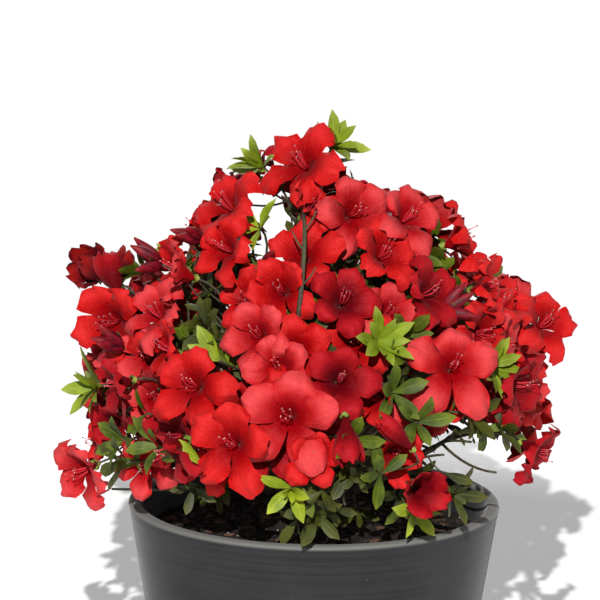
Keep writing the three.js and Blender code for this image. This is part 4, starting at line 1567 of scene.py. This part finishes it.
# %% Leaves on every shoot
counted = {}
for number, shoot in enumerate(shoots):
    dice = shoot["dice"]
    own = dice_for("leaves", number)
    leafy = shoot["kind"] == "tips"
    shade = spray_shade(shoot["face"], own, YOUNG["tips" if leafy else "other"])
    if leafy and shoot["mass"] in FRONT_WHORLS:
        nth = counted[shoot["mass"]] = counted.get(shoot["mass"], -1) + 1
        shade = FRONT_WHORLS[shoot["mass"]][nth]
    first = dice.spread(math.pi)
    if shade == "bare":
        continue
    for k in range(WHORL["leaves"] if leafy else 0):
        turn = first + k / WHORL["leaves"] * TURN
        lean = math.radians(WHORL["lean"] + dice.spread(LEAN_VARY))
        size = (1 + dice.spread(LEAF_VARY)) * (1.06 if shade == "young" else 0.92)
        share = WHORL["first"] - WHORL["step"] * k
        for other in OTHER_LEANS:
            outer = leaf_matrix(shoot["twig"], share, turn, lean + other, size)
            if not pierced(outer, WHORL_PROBE):
                add_leaf(shade, outer, own, True)
                break
    low_lean = math.radians(LOW_LEAF["lean"] + dice.spread(LEAN_VARY))
    low_size = 1 + dice.spread(LEAF_VARY)
    low = leaf_matrix(shoot["twig"], LOW_LEAF["share"], first + LOW_LEAF["turn"], low_lean, low_size)
    add_leaf("mature", low, own, leafy)
    fresh_top = leafy and shade == "young"
    form = INNER_WHORL["young" if fresh_top else "other"]
    for k in range(form["count"] if leafy else 0):
        turn = first + 0.6 + k * form["step"]
        size = own.among(*form["size"])
        lean = math.radians(own.among(*form["lean"]))
        inner = leaf_matrix(shoot["twig"], 0.99, turn, lean, size)
        if not fresh_top or not pierced(inner, INNER_PROBE):
            add_leaf(shade, inner, own, fresh_top)
    for k in range(LOWER["count"]):
        turn = first + LOWER["step"] * k
        share = LOWER["share"] - LOWER["share_step"] * k
        size = own.among(*LOWER["size"])
        lean = math.radians(own.among(*LOWER["lean"]))
        # The mature and the dusky shade by turns, or the one darker than the whorl's
        lower = min(LEAF_SHADES.index(shade) + 1, 3) if leafy else 2 + k % 2
        add_leaf(LEAF_SHADES[lower], leaf_matrix(shoot["twig"], share, turn, lean, size), own)
print(sum(len(sheaf) for sheaf in leaves.values()), "leaves on the shoots")

# %% Leaves on the fine twigs
for twig, where, dice in leafy_ends:
    shade = spray_shade(twig.spot(1), dice, YOUNG[where])
    count = SPRAY["count"] + int(dice.roll() * SPRAY["more"])
    first = dice.among(0, ANY_TURN)
    for k in range(count):
        turn = first + k / count * TURN
        lean = math.radians(dice.among(*SPRAY["lean"]))
        size = dice.among(*SPRAY["size"])
        share = SPRAY["share"] - SPRAY["share_step"] * k
        add_leaf(shade, leaf_matrix(twig, share, turn, lean, size), dice)
print({shade: len(sheaf) for shade, sheaf in leaves.items()}, "leaves")


# %% Leaf finishes
def leaf_finish(name, body, shade, tip):
    """A leaf's finish: a pale rib, fine side veins, and a slow change of green from leaf to leaf."""
    finish, recipe, shader = new_finish(name, body, 0.5, Specular_IOR_Level=0.2)
    blade = recipe.mark("blade")
    u, v, luck = recipe.apart(blade)
    clouds, _ = mottling(recipe, object_place(recipe), 60.0, 0.35, 0.65)
    green = recipe.blend(clouds, shade, body)
    green = recipe.blend(recipe.times(luck, 0.45), green, shade)
    green = recipe.blend(recipe.times(recipe.between(v, 0.6, 1.0), 0.4), green, tip)
    rib = recipe.between(recipe.maths("ABSOLUTE", u), 0.16, 0.03)
    slant = recipe.plus(v, recipe.times(recipe.maths("ABSOLUTE", u), -0.35))
    side = recipe.maths("SINE", recipe.times(slant, 44.0))
    marks = recipe.times(recipe.between(side, 0.7, 1.0), 0.25)
    lines = recipe.maths("MAXIMUM", recipe.times(rib, 0.55), marks)
    green = recipe.blend(recipe.times(lines, 0.5), green, tip)
    wire(recipe, shader, green, recipe.minus(1.0, lines), 0.0004, strength=0.7)
    return finish


LEAF_TONES = {
    "young": (linear(126, 142, 26), linear(94, 112, 14), linear(162, 168, 76)),
    "fresh": (linear(140, 154, 28), linear(94, 112, 16), linear(168, 174, 58)),
    "mature": (linear(80, 94, 10), linear(44, 58, 6), linear(112, 120, 34)),
    "dusky": (linear(62, 68, 14), linear(34, 40, 8), linear(90, 86, 32)),
}
for tone, copies in leaves.items():
    finish = leaf_finish(f"{tone} leaf", *LEAF_TONES[tone])
    add_crown(f"{tone}_leaves", copies, finish, "blade")


# %% [markdown]
# ## Blooms
#
# An azalea's bloom is a funnel of five petals that are joined below and spread into broad, round lobes
# with a wavy edge. The petals overlap like tiles, each with one edge over its neighbour. A petal is one
# grid, curled round the funnel's axis by a formula: a profile gives its radius and height from the
# throat to the tip, and its width makes the lobe. Every bloom gets its own opening, ripples and petal
# lengths from its dice, so no two are alike.

# %% A petal from throat to tip
PROFILE = {
    "share": [0.0, 0.14, 0.28, 0.4, 0.52, 0.66, 0.8, 0.92, 1.0],
    "open_radius": [0.5, 2.4, 4.5, 6.8, 10.4, 15.6, 20.8, 24.9, 27.2],
    "open_height": [-12.5, -9.2, -6.6, -4.6, -2.0, 0.3, 1.2, 0.6, -1.0],
    "shut_radius": [0.5, 2.4, 3.8, 5.2, 6.4, 7.0, 6.2, 4.6, 2.8],
    "shut_height": [-12.5, -8.0, -3.5, 0.5, 5.5, 11.0, 16.5, 20.5, 23.0],
    "open_width": [1.0, 1.9, 3.1, 4.4, 7.0, 9.7, 10.2, 8.6, 6.4],
    "shut_width": [1.0, 1.9, 2.8, 3.8, 5.4, 6.8, 6.8, 5.4, 3.4],
}
# How far petals differ: the tip's notch, the sideways skew, one edge over the other, the arch across, the
# tip's lift and droop, all in mm or radians, then the ruffle, and shares of length, breadth and opening
PETAL = {"notch": (0.2, 1.1), "skew": 0.09, "tilt": (0.6, 1.6), "arch": (1.6, 5.2), "lift": 3.4,
         "droop": (0.0, 4.6), "ruffle": (1.3, 3.3), "length": (0.9, 1.06), "broad": (0.94, 1.05),
         "hood": 0.12, "vary": 0.08, "least": 0.03, "most": 1.08}
petal_grid = blade_grid(8, 10)


def smooth_step(value, low, high):
    share = np.clip((value - low) / (high - low), 0, 1)
    return share * share * (3 - 2 * share)


print("A petal has", len(petal_grid.starts), "faces")


# %% One petal
def petal_points(turn, opening, ruffle, length, broad, dice):
    """The points of one petal in its bloom's frame, and its marks."""
    u = petal_grid.points[:, 0]
    v = petal_grid.points[:, 1]

    def profile(name):
        shut = np.interp(v, PROFILE["share"], PROFILE[f"shut_{name}"])
        wide = np.interp(v, PROFILE["share"], PROFILE[f"open_{name}"])
        return shut + (wide - shut) * opening

    lobe = smooth_step(v, 0.38, 0.6)
    end = smooth_step(v, 0.7, 1.0)
    edge = np.abs(u) ** 2.2
    radius = profile("radius")
    half = np.where(v < 0.4, radius * np.pi / BLOOM["petals"] * 1.03, profile("width") * broad)
    notch = dice.among(*PETAL["notch"]) * np.exp(-((u / 0.3) ** 2))
    radius = (radius - (3.0 * edge + notch) * end * opening) * (1 + (length - 1) * smooth_step(v, 0.3, 1.0))
    angle = u * half / np.maximum(radius, 1.0) + turn + dice.spread(PETAL["skew"]) * lobe
    phase = [dice.among(0, ANY_TURN) for _ in range(4)]
    waves = np.where(u < 0, np.sin(v * 15 + phase[0]), np.sin(v * 14 + phase[1]))
    crease = np.exp(-((u / 0.16) ** 2))
    height = (
        profile("height")
        + dice.among(*PETAL["tilt"]) * u * lobe
        - dice.among(*PETAL["arch"]) * u**2 * lobe * opening
        + ruffle * waves * edge * lobe
        + ruffle * 0.9 * np.sin(u * 5.4 + phase[2]) * end
        - 0.8 * crease * lobe * (1 - 0.7 * v)
        + dice.spread(PETAL["lift"]) * smooth_step(v, 0.45, 1.0)
        - dice.among(*PETAL["droop"]) * end**2 * opening
    )
    # The rim of a shut petal folds over its neighbour
    radius = radius + (1 - opening) * 1.2 * u * lobe
    return np.column_stack([radius * np.sin(angle), -radius * np.cos(angle), height]), u, v


flat_petal = petal_points(0, 1.0, 0.0, 1.0, 1.0, Dice(1))[0]
print("An open petal reaches", round(float(-flat_petal[:, 1].min()), 1), "mm from the axis")


# %% One bloom
def bloom_copies(matrix, opening, ruffle, dice):
    """The five petals of a bloom. The one that looks most upward carries the blotch."""
    turns = [(k + 0.5) / BLOOM["petals"] * TURN for k in range(BLOOM["petals"])]
    turned_up = [(matrix.to_3x3() @ Vector((math.sin(turn), -math.cos(turn), 0))).z for turn in turns]
    upper = turned_up.index(max(turned_up))
    copies = []
    luck = dice.roll()
    for k, turn in enumerate(turns):
        # The upper petals stand up like a hood, the lower ones bend back
        hood = turned_up[k] * opening
        own = opening - PETAL["hood"] * hood + dice.spread(PETAL["vary"])
        own = min(max(own, PETAL["least"]), PETAL["most"])
        broad = dice.among(*PETAL["broad"]) + PETAL["hood"] * hood
        length = dice.among(*PETAL["length"])
        points, u, v = petal_points(turn, own, ruffle, length, broad, dice)
        blotch = 1.0 if k == upper else 0.0
        marks = np.column_stack([u, v, np.full(len(u), blotch + 0.9 * luck)])
        copies.append((petal_grid, moved(points, matrix), marks))
    return copies


print("A bloom has", BLOOM["petals"], "petals")

# %% Stamens and pistil
STAMENS = {"threads": 5, "reach": (2, 7), "pistil": (8, 12), "out": (1.2, 3.2),
           "rise": (1.0, 3.5)}
thread_tube = tube(4, 6)
anther_ball = ball(0.7)


def stamen_copies(matrix, dice):
    """Five threads and a longer pistil, swept up out of the throat, with an anther on each thread."""
    threads = []
    anthers = []
    rise_to = (matrix.to_3x3().inverted() @ UP).normalized()
    for k in range(STAMENS["threads"] + 1):
        is_pistil = k == STAMENS["threads"]
        turn = k / STAMENS["threads"] * TURN + dice.spread(0.4)
        out = Vector((math.cos(turn), math.sin(turn), 0)) * dice.among(*STAMENS["out"])
        reach = dice.among(*STAMENS["pistil" if is_pistil else "reach"])
        start = out * 0.2 + Vector((0, 0, -9))
        swept = Vector((rise_to.x, rise_to.y, 0)) * dice.among(*STAMENS["rise"])
        end = out + Vector((0, 0, reach)) + swept
        bend = Bend(start, out * 1.3 + Vector((0, 0, reach * 0.35)), end)
        _, points, marks = bent_tube(thread_tube, bend, tapered(0.3, 0.2))
        threads.append((thread_tube, moved(points, matrix), marks))
        tip = Matrix.Translation(end) @ Matrix.Diagonal((0.8, 0.8, 0.8 if is_pistil else 1.2, 1))
        anthers.append((anther_ball, moved(moved(anther_ball.points, tip), matrix), None))
    return threads, anthers


print("Each open bloom has", STAMENS["threads"], "stamens")


# %% Green calyx under each bloom
def calyx_shape():
    """A small cup with five points under the funnel."""
    form = bmesh.new()
    bmesh.ops.create_cone(form, cap_ends=False, segments=10, radius1=1.5, radius2=3.4, depth=2.6)
    rim = sorted((v for v in form.verts if v.co.z > 0), key=lambda v: math.atan2(v.co.y, v.co.x))
    for k, corner in enumerate(rim):
        corner.co.z += 1.2 if k % 2 else -0.4
    return Shape(form)


calyx_cup = calyx_shape()
print("A calyx has", len(calyx_cup.starts), "faces")

# %% Make the blooms
petals = {tone: [] for tone in TONES}
threads = []
anthers = []
calyxes = []
# How far a bloom is open when its stamens show
STAMENS_FROM = 0.5
for site in bloom_sites:
    dice = dice_for("petals", site["seed"])
    ruffle = dice.among(*PETAL["ruffle"])
    petals[site["tone"]] += bloom_copies(site["matrix"], site["opening"], ruffle, dice)
    if site["opening"] > STAMENS_FROM:
        more_threads, more_anthers = stamen_copies(site["matrix"], dice)
        threads += more_threads
        anthers += more_anthers
    cup = site["matrix"] @ Matrix.Translation((0, 0, -BLOOM_BASE))
    calyxes.append((calyx_cup, moved(calyx_cup.points, cup), None))
print({tone: len(copies) // 5 for tone, copies in petals.items()}, "blooms by tone")

# %% Petal finishes
PETAL_SKIN = {"Specular_IOR_Level": 0.07, "Sheen_Weight": 0.05, "Sheen_Roughness": 0.4,
              "Sheen_Tint": (1.0, 0.3, 0.35, 1.0)}


def petal_finish(name, throat, body, edge):
    """A petal's finish: deep in the throat, lighter to the edge, finely veined, with a painted highlight on
    each lobe. One petal has spots.
    """
    finish, recipe, shader = new_finish(name, body, 0.55, **PETAL_SKIN)
    blade = recipe.mark("petal")
    u, v, luck = recipe.apart(blade)
    clouds, _ = mottling(recipe, object_place(recipe), 110.0, 0.36, 0.64)
    _, crinkle = mottling(recipe, object_place(recipe), 190.0)
    net = recipe.add("ShaderNodeGroup", {"Blade": blade, "Across": 6.0, "Along": 1.8}, node_tree=veins)
    net = net.outputs["Mask"]
    deep = recipe.between(v, 0.74, 0.34)
    across = recipe.maths("ABSOLUTE", u)
    # Painted highlight: the middle of each lobe is blended towards the light edge tone
    painted_highlight = recipe.times(recipe.between(across, 1.05, 0.3), recipe.between(v, 0.5, 0.78))
    red = recipe.blend(recipe.times(clouds, 0.4), body, edge)
    red = recipe.blend(recipe.times(painted_highlight, 0.8), red, edge)
    red = recipe.blend(deep, red, throat)
    red = recipe.blend(recipe.times(net, 0.1), red, throat)
    spots = recipe.add("ShaderNodeTexVoronoi", {"Vector": blade, "Scale": 16.0}).outputs["Distance"]
    spots = recipe.between(spots, 0.3, 0.18)
    band = recipe.times(recipe.between(v, 0.3, 0.42), recipe.between(v, 0.75, 0.58))
    middle = recipe.between(across, 0.7, 0.3)
    blotched = recipe.maths("GREATER_THAN", luck, 0.95)
    blotch = recipe.times(recipe.times(band, middle), recipe.times(spots, blotched))
    red = recipe.blend(recipe.times(blotch, 0.6), red, linear(84, 0, 10))
    relief = recipe.minus(recipe.times(crinkle, 5.0), recipe.times(net, 0.5))
    wire(recipe, shader, red, relief, 0.0005, strength=0.6)
    return finish


# Throat, body and edge tones; the edge tone also gives the painted highlight on each lobe
PETAL_COLOURS = {
    "scarlet": (linear(124, 0, 4), linear(170, 6, 6), linear(188, 34, 34)),
    "coral": (linear(130, 0, 6), linear(174, 20, 24), linear(194, 62, 64)),
    "crimson": (linear(86, 0, 6), linear(128, 2, 10), linear(160, 20, 28)),
    "maroon": (linear(42, 0, 8), linear(72, 4, 14), linear(140, 20, 14)),
}
for tone, copies in petals.items():
    throat, body, edge = PETAL_COLOURS[tone]
    finish = petal_finish(f"{tone} petal", throat, body, edge)
    add_crown(f"{tone}_petals", copies, finish, "petal")


# %% Threads, anthers and calyxes
THREAD_TONES = (linear(206, 30, 50), linear(180, 10, 30), linear(228, 70, 84))
ANTHER_TONES = (linear(120, 40, 60), linear(84, 24, 44), linear(196, 120, 110))
CUP_TONES = (linear(120, 140, 50), linear(96, 120, 40), linear(150, 160, 70))
thread_pink = mottled_finish(
    "pink filament", THREAD_TONES, 0.5, (0.4, 0.3, 0.7), 0.0002, mark="grain", Specular_IOR_Level=0.2
)
anther_dark = mottled_finish("dusky anther", ANTHER_TONES, 0.6, (900.0, 0.4, 0.6), 0.0003)
cup_green = mottled_finish("green calyx", CUP_TONES, 0.55, (200.0, 0.4, 0.6), 0.0003)
add_crown("filaments", threads, thread_pink, "grain")
add_crown("anthers", anthers, anther_dark)
add_crown("calyxes", calyxes, cup_green)

# %% [markdown]
# ## Buds
#
# Closed flower buds stand in clusters: dark crimson spindles, ribbed by the folded petals, with brown
# green scales at the foot. A spindle is a tube whose radius swells and closes, and its ribs come from
# moving every second row of points in.

# %% Bud clusters
BUD_FORM = {"bend": 1.5, "middle": 12, "scales": 3, "scale_lean": (14, 30), "scale_size": (0.35, 0.55)}
bud_tube = tube(10, 8)


def bud_radius(shares):
    """Thin at the foot, fullest under the middle, and closed to a point."""
    return 0.6 + 4.1 * np.sin(np.pi * np.clip(shares, 0, 1) ** 0.8) ** 0.9 * (1 - 0.25 * shares)


def ribs(marks):
    """Five ribs of folded petals, strongest half way up."""
    ripple = np.cos(BLOOM["petals"] * np.arctan2(marks[:, 1], marks[:, 0]))
    return 0.3 * ripple * np.sin(np.pi * marks[:, 2] / BUD["length"])


buds = []
scales = []
for number, shoot in enumerate(shoots):
    # Two half-open blooms stand where the low front mass has its buds
    if shoot["kind"] != "buds" or shoot["mass"] == "low_front":
        continue
    dice = dice_for("buds", number)
    for matrix in shoot["carried"]:
        middle = (dice.spread(BUD_FORM["bend"]), dice.spread(BUD_FORM["bend"]), BUD_FORM["middle"])
        bend = Bend((0, 0, 0), middle, (0, 0, BUD["length"]))
        shape, points, marks = bent_tube(bud_tube, bend, bud_radius, ribs)
        buds.append((shape, moved(points, matrix), marks))
        for _ in range(BUD_FORM["scales"]):
            turn = dice.among(0, ANY_TURN)
            lean = side_way(UP, turn, math.radians(dice.among(*BUD_FORM["scale_lean"])))
            scale = matrix @ put(UP * 0.5, lean, UP, dice.among(*BUD_FORM["scale_size"]))
            scales.append(leaf_copy(scale, dice, 0.4, 1.1))
print(len(buds), "buds")

# %% Bud finishes
bud_red, recipe, shader = new_finish("maroon bud", linear(84, 8, 20), 0.5, Specular_IOR_Level=0.2)
grain = recipe.mark("grain")
height = recipe.apart(grain)[2]
stretched = recipe.stretched(grain, (1, 1, 0.1))
stripes, stripe_noise = mottling(recipe, stretched, 0.6, 0.42, 0.58)
red = recipe.blend(stripes, linear(54, 2, 14), linear(112, 12, 26))
red = recipe.blend(recipe.times(recipe.between(height, 14.0, 25.0), 0.5), red, linear(150, 18, 24))
wire(recipe, shader, red, stripe_noise, 0.0005)
add_crown("flower_buds", buds, bud_red, "grain")
scale_finish = leaf_finish("bud scale", linear(104, 96, 40), linear(70, 48, 30), linear(130, 120, 60))
add_crown("bud_scales", scales, scale_finish, "blade")

# %% [markdown]
# ## Floor, light and camera
#
# The shrub stands on a pale round floor before a white ground. One small, bright lamp stands in front,
# a little to the left and above, so that the crown's shadow falls behind the pot with a crisp edge. Two
# weak and wide ones, at the side and behind, only lift the dark side a little. Real lamps fade with
# distance, and the floor would turn grey behind the plant. The Light Falloff node keeps the lamp's
# strength the same, as a far lamp would. The white surroundings are bright for the camera and for
# reflections, and weaker as a fill.

# %% The floor
FLOOR = {"radius": 1060, "sides": 160, "under": 1.0, "near": 0.75, "far": 1.0}
floor_form = bmesh.new()
bmesh.ops.create_circle(floor_form, cap_ends=True, segments=FLOOR["sides"], radius=FLOOR["radius"])
bmesh.ops.translate(floor_form, verts=floor_form.verts, vec=(0, 0, -FLOOR["under"]))
floor_mesh = mesh_from(floor_form, "floor")
floor_mesh.transform(Matrix.Scale(MM, 4))
floor = bpy.data.objects.new("floor", floor_mesh)
scene.collection.objects.link(floor)
pale_floor, recipe, shader = new_finish(
    "pale floor", (0.92, 0.92, 0.92, 1), 0.9, Specular_IOR_Level=0.0, Emission_Strength=1.0
)
away = recipe.add("ShaderNodeVectorMath", {0: object_place(recipe)}, operation="LENGTH").outputs["Value"]
far = recipe.between(away, FLOOR["near"], FLOOR["far"])
glow = recipe.blend(far, (0.09, 0.089, 0.089, 1), (0.38, 0.378, 0.378, 1))
recipe.tree.links.new(glow, shader.inputs["Emission Color"])
floor_mesh.materials.append(pale_floor)
print("The floor is", 2 * FLOOR["radius"] * MM, "m across")

# %% The surroundings
world = bpy.data.worlds.new("pale surroundings")
scene.world = world
world.use_nodes = True
world_recipe = Recipe(world.node_tree)
sky = world.node_tree.nodes["Background"]
FILL = 0.2
BACKGROUND = 1.03
rays = world_recipe.add("ShaderNodeLightPath").outputs
bright = world_recipe.maths("MAXIMUM", rays["Is Camera Ray"], rays["Is Glossy Ray"])
strength = world_recipe.add("ShaderNodeMapRange", {0: bright, 3: FILL, 4: BACKGROUND}).outputs[0]
sky.inputs["Color"].default_value = (1, 0.99, 0.992, 1)
world.node_tree.links.new(strength, sky.inputs["Strength"])
print("Surroundings", BACKGROUND, "for the camera,", FILL, "as a fill")


# %% The lamp
def add_lamp(name, place, aim, size, strength):
    """A round area lamp that looks at a point, in metres. Its strength is the same at any distance."""
    light = bpy.data.lights.new(name, "AREA")
    light.shape = "DISK"
    light.size = size
    light.use_nodes = True
    recipe = Recipe(light.node_tree)
    glow = light.node_tree.nodes["Emission"]
    falloff = recipe.add("ShaderNodeLightFalloff", {"Strength": strength}).outputs["Constant"]
    light.node_tree.links.new(falloff, glow.inputs["Strength"])
    lamp = bpy.data.objects.new(name, light)
    scene.collection.objects.link(lamp)
    lamp.location = place
    lamp.rotation_euler = (Vector(aim) - Vector(place)).to_track_quat("-Z", "Y").to_euler()


LAMPS = {
    "key": {"place": (-0.09, -1.75, 1.08), "aim": (0, 0, 0.3), "size": 0.02, "strength": 1.56},
    "side": {"place": (1.5, 0.1, 0.3), "aim": (0, 0, 0.15), "size": 0.6, "strength": 0.2},
    "back": {"place": (-0.3, 2.0, 1.5), "aim": (0, 0, 0.3), "size": 0.8, "strength": 0.2},
}
for name, lamp in LAMPS.items():
    add_lamp(name, **lamp)
print(len(LAMPS), "lamps")
scene.view_settings.view_transform = "Standard"

# %% The camera
camera = bpy.data.cameras.new("camera")
camera.lens = VIEW["lens"]
camera.sensor_width = VIEW["sensor"]
camera.clip_start = 0.05
eye = bpy.data.objects.new("camera", camera)
scene.collection.objects.link(eye)
eye.location = Vector(VIEW["eye"]) * MM
eye.rotation_euler = eye_turn.to_euler()
scene.camera = eye
print("Camera at", tuple(eye.location))
